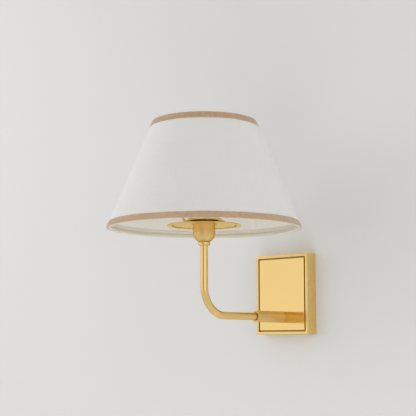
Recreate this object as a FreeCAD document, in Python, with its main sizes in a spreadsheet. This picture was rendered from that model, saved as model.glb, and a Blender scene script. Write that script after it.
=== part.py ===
import FreeCAD, Part
import math
import os
import Sketcher

Vector = FreeCAD.Vector
Rotation = FreeCAD.Rotation

# The frame: the wall is the plane y = 0, the room is on its -Y side, +Z is up.
# The origin is the middle of the two box-screw slots, on the wall behind the plate's centre.
# Every driving dimension is in millimetres, apart from counts.
DRIVING = {
    # backplate, a box open towards the wall
    "plate_width": 122.5,
    "plate_height": 146.0,
    "plate_depth": 23.5,
    "plate_wall": 2.0,
    "plate_edge_rounding": 1.2,
    "border_width": 5.2,
    "recess_depth": 3.2,
    # polished panel in the recess
    "groove_width": 2.6,
    "panel_thickness": 3.2,
    "panel_edge_rounding": 0.5,
    # strap behind the plate
    "strap_width": 38.0,
    "strap_thickness": 2.0,
    "strap_gap": 0.4,
    "tab_length": 14.0,
    "tab_screw_offset": 9.0,
    "box_screw_spacing": 88.9,
    "slot_width": 4.8,
    "slot_length": 12.0,
    "ground_screw_across": 13.5,
    "ground_screw_height": 36.0,
    # grub screws
    "grub_diameter": 4.0,
    "grub_length": 8.0,
    "hex_socket_width": 2.0,
    "hex_socket_depth": 2.2,
    # pan-head screws of the earth and of the terminals
    "small_screw_diameter": 3.0,
    "small_screw_length": 5.0,
    "small_head_diameter": 6.4,
    "small_head_height": 2.2,
    "small_slot_width": 0.9,
    "small_slot_depth": 1.0,
    # arm
    "arm_drop": 41.2,
    "arm_reach": 201.5,
    "arm_rise": 118.2,
    "tube_diameter": 12.7,
    "bend_radius": 50.0,
    "thread_diameter": 10.0,
    "nipple_bore": 7.0,
    "thread_reach": 12.0,
    "thread_end": 2.0,
    # sleeve on the panel
    "sleeve_diameter": 20.4,
    "sleeve_length": 72.5,
    "sleeve_chamfer": 1.0,
    "sleeve_clearance": 0.05,
    "sleeve_mouth_diameter": 14.6,
    "sleeve_mouth_depth": 3.5,
    "sleeve_passage": 9.0,
    "tube_insertion": 55.0,
    "sleeve_screw_place": 38.0,
    "washer_diameter": 18.0,
    "washer_thickness": 1.2,
    "nut_across_flats": 14.0,
    "nut_thickness": 4.0,
    # collar, cup and disc
    "collar_diameter": 20.6,
    "collar_height": 6.8,
    "collar_rounding": 2.2,
    "cup_diameter": 38.0,
    "cup_height": 28.5,
    "cup_bowl_height": 14.2,
    "cup_foot_diameter": 21.0,
    "cup_bowl_radius": 16.2,
    "cup_wall": 1.4,
    "cup_floor": 2.0,
    "disc_washer_diameter": 44.0,
    "disc_washer_thickness": 1.2,
    "disc_diameter": 127.0,
    "disc_thickness": 1.2,
    "disc_flat_margin": 1.0,
    "disc_cone_rise": 2.2,
    "disc_step": 1.0,
    "disc_rim": 7.5,
    "disc_rim_thickness": 1.7,
    # lamp holder
    "base_diameter": 33.0,
    "base_wall": 2.0,
    "base_floor": 3.0,
    "base_foot_diameter": 24.0,
    "base_taper_height": 6.0,
    "base_gap": 0.4,
    "spigot_height": 6.7,
    "shoulder_diameter": 47.0,
    "shoulder_height": 6.4,
    "barrel_diameter": 39.8,
    "barrel_height": 28.9,
    "barrel_chamfer": 1.0,
    "holder_floor": 11.0,
    "terminal_offset": 9.0,
    "shell_diameter": 29.6,
    "shell_wall": 1.0,
    "shell_height": 28.0,
    "shell_lip": 3.0,
    "contact_diameter": 7.0,
    "contact_height": 1.2,
    "rivet_diameter": 3.0,
    # retaining ring and the shade's fitter
    "thread_clearance": 0.1,
    "ring_flange_diameter": 52.0,
    "ring_flange_height": 2.0,
    "ring_grip_diameter": 48.0,
    "ring_height": 7.0,
    "flute_diameter": 2.0,
    "flute_count": 32,
    "fitter_diameter": 71.6,
    "fitter_hole_diameter": 53.0,
    "fitter_step": 3.0,
    "fitter_thickness": 1.2,
    # shade
    "shade_bottom_drop": 3.6,
    "shade_height": 183.6,
    "shade_bottom_radius": 165.8,
    "shade_top_radius": 89.7,
    "fabric_thickness": 1.0,
    "lining_thickness": 0.8,
    "trim_thickness": 1.0,
    "trim_height": 9.8,
    "tape_thickness": 0.6,
    "tape_height": 11.2,
    "frame_wire_diameter": 3.0,
    "frame_wire_gap": 0.1,
    "arm_wire_diameter": 3.2,
    "arm_wire_foot": 1.8,
    "arm_wire_bend": 8.0,
    "arm_wire_run": 3.0,
    "shade_arm_count": 3,
    # lamp
    "lamp_gap": 0.2,
    "lamp_contact_diameter": 9.0,
    "lamp_contact_height": 1.8,
    "lamp_insulator_height": 4.0,
    "lamp_cap_diameter": 26.0,
    "lamp_cap_height": 20.5,
    "lamp_cap_wall": 0.5,
    "lamp_neck_diameter": 24.6,
    "lamp_neck_entry": 3.0,
    "lamp_bulb_diameter": 60.0,
    "lamp_neck_length": 46.0,
    "lamp_glass_wall": 1.0,
    "lamp_neck_curve": 90.0,
    # wires
    "wire_diameter": 2.4,
    "wire_spread": 3.6,
    "wire_end_bend": 5.0,
    "wire_start": 1.5,
    "connector_diameter": 11.0,
    "connector_tip_diameter": 7.0,
    "connector_length": 22.0,
    "connector_bore_depth": 14.0,
    "connector_spacing": 12.5,
    "connector_height": 2.0,
    "connector_depth": 9.6,
}


class Size:
    """A length that carries its number and the sheet formula that gives it."""

    def __init__(self, number, formula):
        self.number = number
        self.formula = formula

    def __add__(self, other):
        other = as_size(other)
        return Size(self.number + other.number, f"({self.formula} + {other.formula})")

    def __sub__(self, other):
        other = as_size(other)
        return Size(self.number - other.number, f"({self.formula} - {other.formula})")

    def __mul__(self, other):
        other = as_size(other)
        return Size(self.number * other.number, f"({self.formula} * {other.formula})")

    def __truediv__(self, other):
        other = as_size(other)
        return Size(self.number / other.number, f"({self.formula} / {other.formula})")

    def __neg__(self):
        return Size(-self.number, f"(-1 * {self.formula})")


def as_size(value):
    if isinstance(value, Size):
        return value
    return Size(float(value), str(float(value)))


def root(value):
    value = as_size(value)
    return Size(math.sqrt(value.number), f"sqrt({value.formula})")


class Sizes:
    """The sheet's cells, each as an attribute under its alias."""

    def __init__(self, document, driving):
        sheet = document.addObject("Spreadsheet::Sheet", "Sizes")
        for row, (alias, number) in enumerate(driving.items(), start=1):
            sheet.set(f"A{row}", alias)
            sheet.set(f"B{row}", str(number))
            sheet.setAlias(f"B{row}", alias)
            setattr(self, alias, Size(number, f"Sizes.{alias}"))


doc = FreeCAD.newDocument("WallLight")
size = Sizes(doc, DRIVING)
doc.recompute()
NODES = []
NOTHING = as_size(0)


def bind(thing, **properties):
    """Give each property of an object its number and its formula."""
    for name, value in properties.items():
        setattr(thing, name, value.number)
        thing.setExpression(name, value.formula)


def place(thing, across=NOTHING, outward=NOTHING, up=NOTHING, turn=Rotation()):
    """Put an object at a point: across is +X, outward is +Y, up is +Z."""
    thing.Placement = FreeCAD.Placement(Vector(across.number, outward.number, up.number), turn)
    thing.setExpression("Placement.Base.x", across.formula)
    thing.setExpression("Placement.Base.y", outward.formula)
    thing.setExpression("Placement.Base.z", up.formula)


def node(thing):
    """Keep an object as one of the light's pieces."""
    NODES.append(thing)
    return thing


def new_body(label):
    body = doc.addObject("PartDesign::Body", label)
    body.Label = label
    return body


def new_sketch(body, name, plane, offset=NOTHING):
    """An empty sketch on one of the body's own planes, moved along that plane's normal."""
    sketch = body.newObject("Sketcher::SketchObject", f"{body.Name}_{name}")
    support = [feature for feature in body.Origin.OriginFeatures if feature.Role == plane][0]
    sketch.AttachmentSupport = (support, [""])
    sketch.MapMode = "FlatFace"
    sketch.AttachmentOffset = FreeCAD.Placement(Vector(0, 0, offset.number), Rotation())
    sketch.setExpression("AttachmentOffset.Base.z", offset.formula)
    return sketch


def dimension(sketch, kind, elements, value):
    """One driving dimension in a sketch, bound to its formula."""
    index = sketch.addConstraint(Sketcher.Constraint(kind, *elements, value.number))
    name = f"{kind}_{index}"
    sketch.renameConstraint(index, name)
    sketch.setExpression(f"Constraints.{name}", value.formula)


def fix_point(sketch, element, end, across, up):
    """Hold a point of a sketch at a place measured from the sketch's origin."""
    dimension(sketch, "DistanceX", (-1, 1, element, end), across)
    dimension(sketch, "DistanceY", (-1, 1, element, end), up)


def arc_between(start, end, radius):
    """The short arc from start to end: counter-clockwise where the radius is above zero."""
    chord = end - start
    height = math.sqrt(radius * radius - chord.Length ** 2 / 4)
    left = Vector(-chord.y, chord.x, 0).normalize()
    side = 1 if radius > 0 else -1
    centre = (start + end) / 2 + left * (height * side)
    first, last = (start, end) if radius > 0 else (end, start)
    angles = [math.atan2(point.y - centre.y, point.x - centre.x) for point in (first, last)]
    circle = Part.Circle(centre, Vector(0, 0, 1), abs(radius))
    return Part.ArcOfCircle(circle, angles[0], angles[1])


def draw_path(sketch, corners, closed):
    """Lines and arcs through corners.

    A corner is (across, up), or (across, up, radius) where an arc of that radius leads to it.
    A radius below zero turns clockwise.
    """
    spans = list(zip(corners, corners[1:]))
    if closed:
        spans.append((corners[-1], corners[0]))
    ends = []
    for start, end in spans:
        first = Vector(start[0].number, start[1].number, 0)
        last = Vector(end[0].number, end[1].number, 0)
        if len(end) == 3:
            element = sketch.addGeometry(arc_between(first, last, end[2].number), False)
            radius = end[2] if end[2].number > 0 else -end[2]
            dimension(sketch, "Radius", (element,), radius)
            ends.append((element, 1, 2) if end[2].number > 0 else (element, 2, 1))
        else:
            element = sketch.addGeometry(Part.LineSegment(first, last), False)
            ends.append((element, 1, 2))
    for index, (element, start_end, _) in enumerate(ends):
        fix_point(sketch, element, start_end, corners[index][0], corners[index][1])
        if index > 0:
            previous = ends[index - 1]
            sketch.addConstraint(
                Sketcher.Constraint("Coincident", previous[0], previous[2], element, start_end)
            )
    last = ends[-1]
    if closed:
        sketch.addConstraint(Sketcher.Constraint("Coincident", last[0], last[2], ends[0][0], ends[0][1]))
    else:
        fix_point(sketch, last[0], last[2], corners[-1][0], corners[-1][1])


def draw_circle(sketch, across, up, diameter):
    circle = Part.Circle(Vector(across.number, up.number, 0), Vector(0, 0, 1), diameter.number / 2)
    element = sketch.addGeometry(circle, False)
    dimension(sketch, "Diameter", (element,), diameter)
    fix_point(sketch, element, 3, across, up)


def rectangle(width, height):
    half_width = width / 2
    half_height = height / 2
    return [
        (-half_width, -half_height),
        (half_width, -half_height),
        (half_width, half_height),
        (-half_width, half_height),
    ]


def hexagon(across_flats):
    """Corners of a hexagon with two corners on the sketch's first axis."""
    half_flat = across_flats / 2
    side = across_flats / root(3)
    half_side = side / 2
    return [
        (side, NOTHING),
        (half_side, half_flat),
        (-half_side, half_flat),
        (-side, NOTHING),
        (-half_side, -half_flat),
        (half_side, -half_flat),
    ]


def slot(across, up, width, length):
    """Outline of a slot that runs along the sketch's second axis."""
    radius = width / 2
    straight = (length - width) / 2
    return [
        (across + radius, up - straight, radius),
        (across + radius, up + straight),
        (across, up + straight + radius, radius),
        (across - radius, up + straight, radius),
        (across - radius, up - straight),
        (across, up - straight - radius, radius),
    ]


def volume_of(thing):
    doc.recompute()
    return thing.Shape.Volume


def pad(body, sketch, length, both_sides=False):
    feature = body.newObject("PartDesign::Pad", f"{sketch.Name}_pad")
    feature.Profile = sketch
    feature.SideType = "Symmetric" if both_sides else "One side"
    bind(feature, Length=length)
    return feature


def pocket(body, sketch, depth=None, towards_normal=False):
    """Cut a sketch into the body: to a depth, or right through both ways."""
    before = volume_of(body)
    feature = body.newObject("PartDesign::Pocket", f"{sketch.Name}_pocket")
    feature.Profile = sketch
    if depth is None:
        feature.SideType = "Symmetric"
        feature.Type = "ThroughAll"
    else:
        feature.Reversed = towards_normal
        bind(feature, Length=depth)
    if volume_of(body) >= before:
        raise ValueError(f"{feature.Name} cuts nothing")
    return feature


def turned(label, corners):
    """A body turned about its own Z axis from a closed outline of (radius, height) corners."""
    body = new_body(label)
    sketch = new_sketch(body, "outline", "XZ_Plane")
    draw_path(sketch, corners, closed=True)
    feature = body.newObject("PartDesign::Revolution", f"{label}_turn")
    feature.Profile = sketch
    feature.ReferenceAxis = (sketch, ["V_Axis"])
    feature.Angle = FULL_TURN
    return body


def ring_outline(inner, outer, bottom, top):
    """Outline of a plain ring, from two diameters and two heights."""
    return [(inner / 2, bottom), (outer / 2, bottom), (outer / 2, top), (inner / 2, top)]


def edges_where(thing, test):
    """Names of an object's edges whose every end point passes the test."""
    doc.recompute()
    names = []
    for number, edge in enumerate(thing.Shape.Edges, start=1):
        if all(test(vertex.Point) for vertex in edge.Vertexes):
            names.append(f"Edge{number}")
    return names


def dress(body, kind, feature, edges, **properties):
    """A fillet or chamfer on named edges of a body's feature."""
    dressing = body.newObject(f"PartDesign::{kind}", f"{body.Name}_{kind}")
    dressing.Base = (feature, edges)
    bind(dressing, **properties)
    return dressing


def group(label, members):
    """One node that holds several like pieces as separate solids."""
    compound = doc.addObject("Part::Compound", label)
    compound.Label = label
    compound.Links = members
    return node(compound)


def cut_away(label, base, tool):
    """A piece with the shape of another one taken out of it."""
    cut = doc.addObject("Part::Cut", label)
    cut.Label = label
    cut.Base = base
    cut.Tool = tool
    return cut


def mirrored(thing, label, normal):
    """The same piece on the other side of the frame's middle."""
    copy = doc.addObject("Part::Mirroring", label)
    copy.Source = thing
    copy.Normal = normal
    return copy


def route(points, radii):
    """A wire of straight runs through points, with a tangent arc at each inner point."""
    edges = []
    here = points[0]
    for before, corner, after, radius in zip(points, points[1:], points[2:], radii):
        incoming = (corner - before).normalize()
        outgoing = (after - corner).normalize()
        turn = incoming.getAngle(outgoing)
        trim = radius * math.tan(turn / 2)
        start = corner - incoming * trim
        end = corner + outgoing * trim
        inward = (outgoing - incoming).normalize()
        centre = corner + inward * (radius / math.cos(turn / 2))
        middle = centre - inward * radius
        edges.append(Part.LineSegment(here, start).toShape())
        edges.append(Part.Arc(start, middle, end).toShape())
        here = end
    edges.append(Part.LineSegment(here, points[-1]).toShape())
    return Part.Wire(edges)


def swept_wire(label, points, radii, diameter):
    """A round wire along a route of Size points, as one node."""
    corners = [Vector(*(value.number for value in point)) for point in points]
    path = route(corners, [radius.number for radius in radii])
    start = corners[0]
    direction = corners[1] - corners[0]
    section = Part.Wire([Part.makeCircle(diameter.number / 2, start, direction)])
    solid = path.makePipeShell([section], True, False)
    piece = doc.addObject("Part::Feature", label)
    piece.Label = label
    piece.Shape = solid
    place(piece)
    return node(piece)


# Places that several pieces share
panel_face = size.plate_depth - size.recess_depth + size.panel_thickness
recess_floor = size.plate_depth - size.recess_depth
plate_back_face = recess_floor - size.plate_wall
arm_axis = size.plate_depth + size.arm_reach
sleeve_end = panel_face + size.sleeve_length
tube_rear = sleeve_end - size.tube_insertion
collar_bottom = size.arm_rise - size.arm_drop
cup_bottom = collar_bottom + size.collar_height
cup_rim = cup_bottom + size.cup_height
disc_underside = cup_rim + size.disc_washer_thickness
disc_top = disc_underside + size.disc_thickness
shoulder_top = disc_top + size.shoulder_height
fitter_top = shoulder_top + size.fitter_thickness
ring_hole = size.barrel_diameter + size.thread_clearance * 2
disc_dish = size.disc_step + size.disc_cone_rise
shade_bottom = disc_underside - disc_dish - size.shade_bottom_drop
cup_nut_top = cup_bottom + size.cup_floor + size.nut_thickness
base_bottom = cup_nut_top + size.base_gap
holder_floor_top = disc_top - size.spigot_height + size.holder_floor
lamp_bottom = holder_floor_top + size.contact_height + size.lamp_gap
shade_skin = size.fabric_thickness + size.lining_thickness
shade_slope = (size.shade_top_radius - size.shade_bottom_radius) / size.shade_height
TOWARDS_ROOM = Rotation(Vector(1, 0, 0), 90)
UPSIDE_DOWN = Rotation(Vector(1, 0, 0), 180)
ON_FACE = 0.01
FULL_TURN = 360
FIRST_ARM_ANGLE = 90


def make_mounting_bracket():
    """Steel strap: a flat run with the box-screw slots, and a tab at each end that points out."""
    half = size.plate_height / 2 - size.plate_wall - size.strap_gap
    inner = half - size.strap_thickness
    body = new_body("mounting_bracket")
    profile = new_sketch(body, "profile", "YZ_Plane")
    corners = [
        (NOTHING, -half),
        (NOTHING, half),
        (-size.tab_length, half),
        (-size.tab_length, inner),
        (-size.strap_thickness, inner),
        (-size.strap_thickness, -inner),
        (-size.tab_length, -inner),
        (-size.tab_length, -half),
    ]
    draw_path(profile, corners, closed=True)
    pad(body, profile, size.strap_width, both_sides=True)
    slots = new_sketch(body, "slots", "XZ_Plane")
    for height in (size.box_screw_spacing / 2, -size.box_screw_spacing / 2):
        draw_path(slots, slot(NOTHING, height, size.slot_width, size.slot_length), closed=True)
    draw_circle(slots, size.ground_screw_across, size.ground_screw_height, size.small_screw_diameter)
    pocket(body, slots)
    tab_holes = new_sketch(body, "tab_holes", "XY_Plane")
    draw_circle(tab_holes, NOTHING, -size.tab_screw_offset, size.grub_diameter)
    pocket(body, tab_holes)
    node(body)


def make_backplate():
    """Box-shaped plate, hollow behind, with a recess inside a raised border in front."""
    body = new_body("backplate")
    outline = new_sketch(body, "outline", "XZ_Plane")
    draw_path(outline, rectangle(size.plate_width, size.plate_height), closed=True)
    block = pad(body, outline, size.plate_depth)
    front = -size.plate_depth.number
    edges = edges_where(block, lambda point: abs(point.y - front) < ON_FACE)
    dress(body, "Fillet", block, edges, Radius=size.plate_edge_rounding)
    cavity = new_sketch(body, "cavity", "XZ_Plane")
    inner_width = size.plate_width - size.plate_wall * 2
    inner_height = size.plate_height - size.plate_wall * 2
    draw_path(cavity, rectangle(inner_width, inner_height), closed=True)
    pocket(body, cavity, plate_back_face, towards_normal=True)
    recess = new_sketch(body, "recess", "XZ_Plane", size.plate_depth)
    recess_width = size.plate_width - size.border_width * 2
    recess_height = size.plate_height - size.border_width * 2
    draw_path(recess, rectangle(recess_width, recess_height), closed=True)
    pocket(body, recess, size.recess_depth)
    nipple_hole = new_sketch(body, "nipple_hole", "XZ_Plane")
    draw_circle(nipple_hole, NOTHING, -size.arm_drop, size.thread_diameter)
    pocket(body, nipple_hole)
    grub_holes = new_sketch(body, "grub_holes", "XY_Plane")
    draw_circle(grub_holes, NOTHING, -size.tab_screw_offset, size.grub_diameter)
    pocket(body, grub_holes)
    node(body)


def make_inset_panel():
    body = new_body("inset_panel")
    outline = new_sketch(body, "outline", "XZ_Plane")
    margin = (size.border_width + size.groove_width) * 2
    draw_path(outline, rectangle(size.plate_width - margin, size.plate_height - margin), closed=True)
    draw_circle(outline, NOTHING, -size.arm_drop, size.thread_diameter)
    slab = pad(body, outline, size.panel_thickness)
    front = -size.panel_thickness.number
    beyond_hole = size.thread_diameter.number
    edges = edges_where(
        slab, lambda point: abs(point.y - front) < ON_FACE and abs(point.x) > beyond_hole
    )
    dress(body, "Fillet", slab, edges, Radius=size.panel_edge_rounding)
    place(body, outward=-recess_floor)
    node(body)


def make_grub(label):
    """Headless screw with a hexagon socket in its outer end, which is at the top."""
    body = new_body(label)
    outline = new_sketch(body, "outline", "XY_Plane")
    draw_circle(outline, NOTHING, NOTHING, size.grub_diameter)
    pad(body, outline, size.grub_length)
    socket = new_sketch(body, "socket", "XY_Plane", size.grub_length)
    draw_path(socket, hexagon(size.hex_socket_width), closed=True)
    pocket(body, socket, size.hex_socket_depth)
    return body


def make_plate_screws():
    upper = make_grub("upper_plate_screw")
    place(upper, outward=-size.tab_screw_offset, up=size.plate_height / 2 - size.grub_length)
    lower = mirrored(upper, "lower_plate_screw", Vector(0, 0, 1))
    group("plate_screws", [upper, lower])


def make_small_screw(label):
    """Slotted pan-head screw: its head stands on z = 0 and its shank points down."""
    shank = size.small_screw_diameter / 2
    head = size.small_head_diameter / 2
    crown = size.small_head_height
    shoulder = crown / 2
    corners = [
        (NOTHING, -size.small_screw_length),
        (shank, -size.small_screw_length),
        (shank, NOTHING),
        (head, NOTHING),
        (head, shoulder),
        (head - shoulder, crown, shoulder),
        (NOTHING, crown),
    ]
    body = turned(label, corners)
    slit = new_sketch(body, "slit", "XY_Plane", crown)
    draw_path(slit, rectangle(size.small_head_diameter * 2, size.small_slot_width), closed=True)
    pocket(body, slit, size.small_slot_depth)
    return body


def make_ground_screw():
    """Earth screw, from the strap's front into its tapped hole; the strap is thinner than its shank."""
    screw = make_small_screw("ground_screw")
    bare_end = new_sketch(screw, "bare_end", "XY_Plane", -size.strap_thickness)
    draw_circle(bare_end, NOTHING, NOTHING, size.small_screw_diameter * 2)
    pocket(screw, bare_end, size.small_screw_length)
    place(
        screw,
        across=size.ground_screw_across,
        outward=-size.strap_thickness,
        up=size.ground_screw_height,
        turn=TOWARDS_ROOM,
    )
    node(screw)


def make_arm_sleeve():
    """Thick tube on the panel: tapped behind for the nipple, bored in front for the arm."""
    outer = size.sleeve_diameter / 2
    bore = size.tube_diameter / 2 + size.sleeve_clearance
    mouth = size.sleeve_mouth_diameter / 2
    floor = size.sleeve_length - size.tube_insertion
    corners = [
        (size.thread_diameter / 2, NOTHING),
        (outer - size.sleeve_chamfer, NOTHING),
        (outer, size.sleeve_chamfer),
        (outer, size.sleeve_length - size.sleeve_chamfer),
        (outer - size.sleeve_chamfer, size.sleeve_length),
        (mouth, size.sleeve_length),
        (mouth, size.sleeve_length - size.sleeve_mouth_depth),
        (bore, size.sleeve_length - size.sleeve_mouth_depth),
        (bore, floor),
        (size.sleeve_passage / 2, floor),
        (size.sleeve_passage / 2, size.thread_reach),
        (size.thread_diameter / 2, size.thread_reach),
    ]
    body = turned("arm_sleeve", corners)
    screw_hole = new_sketch(body, "screw_hole", "XZ_Plane")
    draw_circle(screw_hole, NOTHING, size.sleeve_screw_place, size.grub_diameter)
    pocket(body, screw_hole, size.sleeve_diameter)
    place(body, outward=-panel_face, up=-size.arm_drop, turn=TOWARDS_ROOM)
    node(body)


def make_sleeve_set_screw():
    """Short grub screw on top of the sleeve, down onto the tube."""
    reach = (size.sleeve_diameter - size.tube_diameter) / 2
    body = new_body("sleeve_set_screw")
    outline = new_sketch(body, "outline", "XY_Plane")
    draw_circle(outline, NOTHING, NOTHING, size.grub_diameter)
    pad(body, outline, reach)
    socket = new_sketch(body, "socket", "XY_Plane", reach)
    draw_path(socket, hexagon(size.hex_socket_width), closed=True)
    pocket(body, socket, size.hex_socket_depth)
    place(
        body,
        outward=-(panel_face + size.sleeve_screw_place),
        up=size.tube_diameter / 2 - size.arm_drop,
    )
    node(body)


def make_nipple(label, length):
    """Threaded tube, drawn at its thread's outside diameter."""
    return turned(label, ring_outline(size.nipple_bore, size.thread_diameter, NOTHING, length))


def make_nut(label):
    body = new_body(label)
    outline = new_sketch(body, "outline", "XY_Plane")
    draw_path(outline, hexagon(size.nut_across_flats), closed=True)
    draw_circle(outline, NOTHING, NOTHING, size.thread_diameter)
    pad(body, outline, size.nut_thickness)
    return body


def make_sleeve_fixings():
    """Nipple, washer and nut that clamp the sleeve, the panel and the plate together."""
    behind = size.washer_thickness + size.nut_thickness + size.thread_end
    rear_end = plate_back_face - behind
    nipple = make_nipple("sleeve_nipple", panel_face + size.thread_reach - rear_end)
    place(nipple, outward=-rear_end, up=-size.arm_drop, turn=TOWARDS_ROOM)
    node(nipple)
    outline = ring_outline(size.thread_diameter, size.washer_diameter, NOTHING, size.washer_thickness)
    washer = turned("sleeve_washer", outline)
    washer_back = plate_back_face - size.washer_thickness
    place(washer, outward=-washer_back, up=-size.arm_drop, turn=TOWARDS_ROOM)
    node(washer)
    nut = make_nut("sleeve_locknut")
    place(nut, outward=size.nut_thickness - washer_back, up=-size.arm_drop, turn=TOWARDS_ROOM)
    node(nut)


def make_arm_tube():
    """Tube along the arm: out from the sleeve, round the bend and up to the cup.

    The body's origin is where the two straight runs would cross.
    """
    body = new_body("arm_tube")
    spine = new_sketch(body, "spine", "YZ_Plane")
    rear = arm_axis - tube_rear
    top = cup_bottom + size.arm_drop
    draw_path(
        spine,
        [
            (rear, NOTHING),
            (size.bend_radius, NOTHING),
            (NOTHING, size.bend_radius, -size.bend_radius),
            (NOTHING, top),
        ],
        closed=False,
    )
    section = new_sketch(body, "section", "XZ_Plane", -rear)
    draw_circle(section, NOTHING, NOTHING, size.tube_diameter)
    draw_circle(section, NOTHING, NOTHING, size.thread_diameter)
    pipe = body.newObject("PartDesign::AdditivePipe", "arm_tube_pipe")
    pipe.Profile = section
    pipe.Spine = (spine, ["Edge1", "Edge2", "Edge3"])
    place(body, outward=-arm_axis, up=-size.arm_drop)
    node(body)


def make_arm_collar():
    hole = size.tube_diameter / 2
    outer = size.collar_diameter / 2
    rounding = size.collar_rounding
    corners = [
        (hole, NOTHING),
        (outer - rounding, NOTHING),
        (outer, rounding, rounding),
        (outer, size.collar_height - rounding),
        (outer - rounding, size.collar_height, rounding),
        (hole, size.collar_height),
    ]
    body = turned("arm_collar", corners)
    place(body, outward=-arm_axis, up=collar_bottom)
    node(body)


def make_socket_cup():
    """Bell-shaped cup: a flat foot, a round bowl and a straight wall."""
    outer = size.cup_diameter / 2
    inner = outer - size.cup_wall
    foot = size.cup_foot_diameter / 2
    inner_foot = foot - size.cup_wall / 2
    hole = size.thread_diameter / 2
    corners = [
        (hole, NOTHING),
        (foot, NOTHING),
        (outer, size.cup_bowl_height, size.cup_bowl_radius),
        (outer, size.cup_height),
        (inner, size.cup_height),
        (inner, size.cup_bowl_height),
        (inner_foot, size.cup_floor, size.cup_wall - size.cup_bowl_radius),
        (hole, size.cup_floor),
    ]
    body = turned("socket_cup", corners)
    place(body, outward=-arm_axis, up=cup_bottom)
    node(body)


def make_cup_fixings():
    """Nipple that joins the tube, the cup and the lamp holder, and its nut."""
    nipple_bottom = cup_bottom - size.thread_reach
    nipple_top = base_bottom + size.base_floor + size.thread_end
    nipple = make_nipple("cup_nipple", nipple_top - nipple_bottom)
    place(nipple, outward=-arm_axis, up=nipple_bottom)
    node(nipple)
    nut = make_nut("cup_locknut")
    place(nut, outward=-arm_axis, up=cup_bottom + size.cup_floor)
    node(nut)


def make_glare_disc():
    """Glare disc, upside down: a flat middle, a slight cone, a small step and a thicker rim.

    The flat middle lies between the halves of the lamp holder, on its own washer.
    """
    hole = size.base_diameter / 2 + size.base_gap
    flat = size.shoulder_diameter / 2 + size.disc_flat_margin
    outer = size.disc_diameter / 2
    step = outer - size.disc_rim
    slant = size.disc_thickness / 2
    corners = [
        (hole, disc_dish),
        (flat, disc_dish),
        (step - slant, size.disc_step),
        (step, NOTHING),
        (outer, NOTHING),
        (outer, size.disc_rim_thickness),
        (step + slant, size.disc_rim_thickness),
        (step - slant, size.disc_step + size.disc_thickness),
        (flat, disc_dish + size.disc_thickness),
        (hole, disc_dish + size.disc_thickness),
    ]
    disc = turned("glare_disc", corners)
    place(disc, outward=-arm_axis, up=disc_underside - disc_dish)
    node(disc)
    washer_hole = size.base_diameter + size.base_gap * 2
    outline = ring_outline(
        washer_hole, size.disc_washer_diameter, NOTHING, size.disc_washer_thickness
    )
    washer = turned("disc_washer", outline)
    place(washer, outward=-arm_axis, up=cup_rim)
    node(washer)


def make_socket_base():
    """Lower half of the lamp holder: a cap with a tapped foot and a wiring chamber."""
    outer = size.base_diameter / 2
    inner = outer - size.base_wall
    foot = size.base_foot_diameter / 2
    height = disc_top - base_bottom
    corners = [
        (size.thread_diameter / 2, NOTHING),
        (foot, NOTHING),
        (outer, size.base_taper_height),
        (outer, height),
        (inner, height),
        (inner, size.base_taper_height + size.base_wall / 2),
        (foot - size.base_wall / 2, size.base_floor),
        (size.thread_diameter / 2, size.base_floor),
    ]
    body = turned("socket_base", corners)
    place(body, outward=-arm_axis, up=base_bottom)
    node(body)


def make_socket_body():
    """Upper half of the lamp holder: a spigot in the base, the shoulder that clamps the disc,
    the barrel for the shade's fitter, and the well for the lamp.
    """
    spigot = size.base_diameter / 2 - size.base_wall
    barrel = size.barrel_diameter / 2
    shoulder = size.shoulder_diameter / 2
    rivet = size.rivet_diameter / 2
    shoulder_end = size.spigot_height + size.shoulder_height
    height = shoulder_end + size.barrel_height
    well = size.shell_diameter / 2
    corners = [
        (rivet, NOTHING),
        (spigot, NOTHING),
        (spigot, size.spigot_height),
        (shoulder, size.spigot_height),
        (shoulder, shoulder_end),
        (barrel, shoulder_end),
        (barrel, height - size.barrel_chamfer),
        (barrel - size.barrel_chamfer, height),
        (well, height),
        (well, size.holder_floor),
        (rivet, size.holder_floor),
    ]
    body = turned("socket_body", corners)
    holes = new_sketch(body, "terminal_holes", "XY_Plane")
    for side in (size.terminal_offset, -size.terminal_offset):
        draw_circle(holes, side, NOTHING, size.small_screw_diameter)
    pocket(body, holes, size.small_screw_length, towards_normal=True)
    place(body, outward=-arm_axis, up=disc_top - size.spigot_height)
    node(body)


def make_live_parts():
    """Screw shell, centre contact and terminal screws of the lamp holder."""
    outer = size.shell_diameter / 2
    inner = outer - size.shell_wall
    lip = outer - size.shell_lip
    corners = [
        (lip, NOTHING),
        (outer, NOTHING),
        (outer, size.shell_height),
        (inner, size.shell_height),
        (inner, size.shell_wall),
        (lip, size.shell_wall),
    ]
    shell = turned("socket_shell", corners)
    place(shell, outward=-arm_axis, up=holder_floor_top)
    node(shell)
    rivet = size.rivet_diameter / 2
    corners = [
        (NOTHING, -size.holder_floor),
        (rivet, -size.holder_floor),
        (rivet, NOTHING),
        (size.contact_diameter / 2, NOTHING),
        (size.contact_diameter / 2, size.contact_height),
        (NOTHING, size.contact_height),
    ]
    contact = turned("socket_contact", corners)
    place(contact, outward=-arm_axis, up=holder_floor_top)
    node(contact)
    right = make_small_screw("right_terminal_screw")
    place(
        right,
        across=size.terminal_offset,
        outward=-arm_axis,
        up=disc_top - size.spigot_height,
        turn=UPSIDE_DOWN,
    )
    left = mirrored(right, "left_terminal_screw", Vector(1, 0, 0))
    group("terminal_screws", [right, left])


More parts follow.
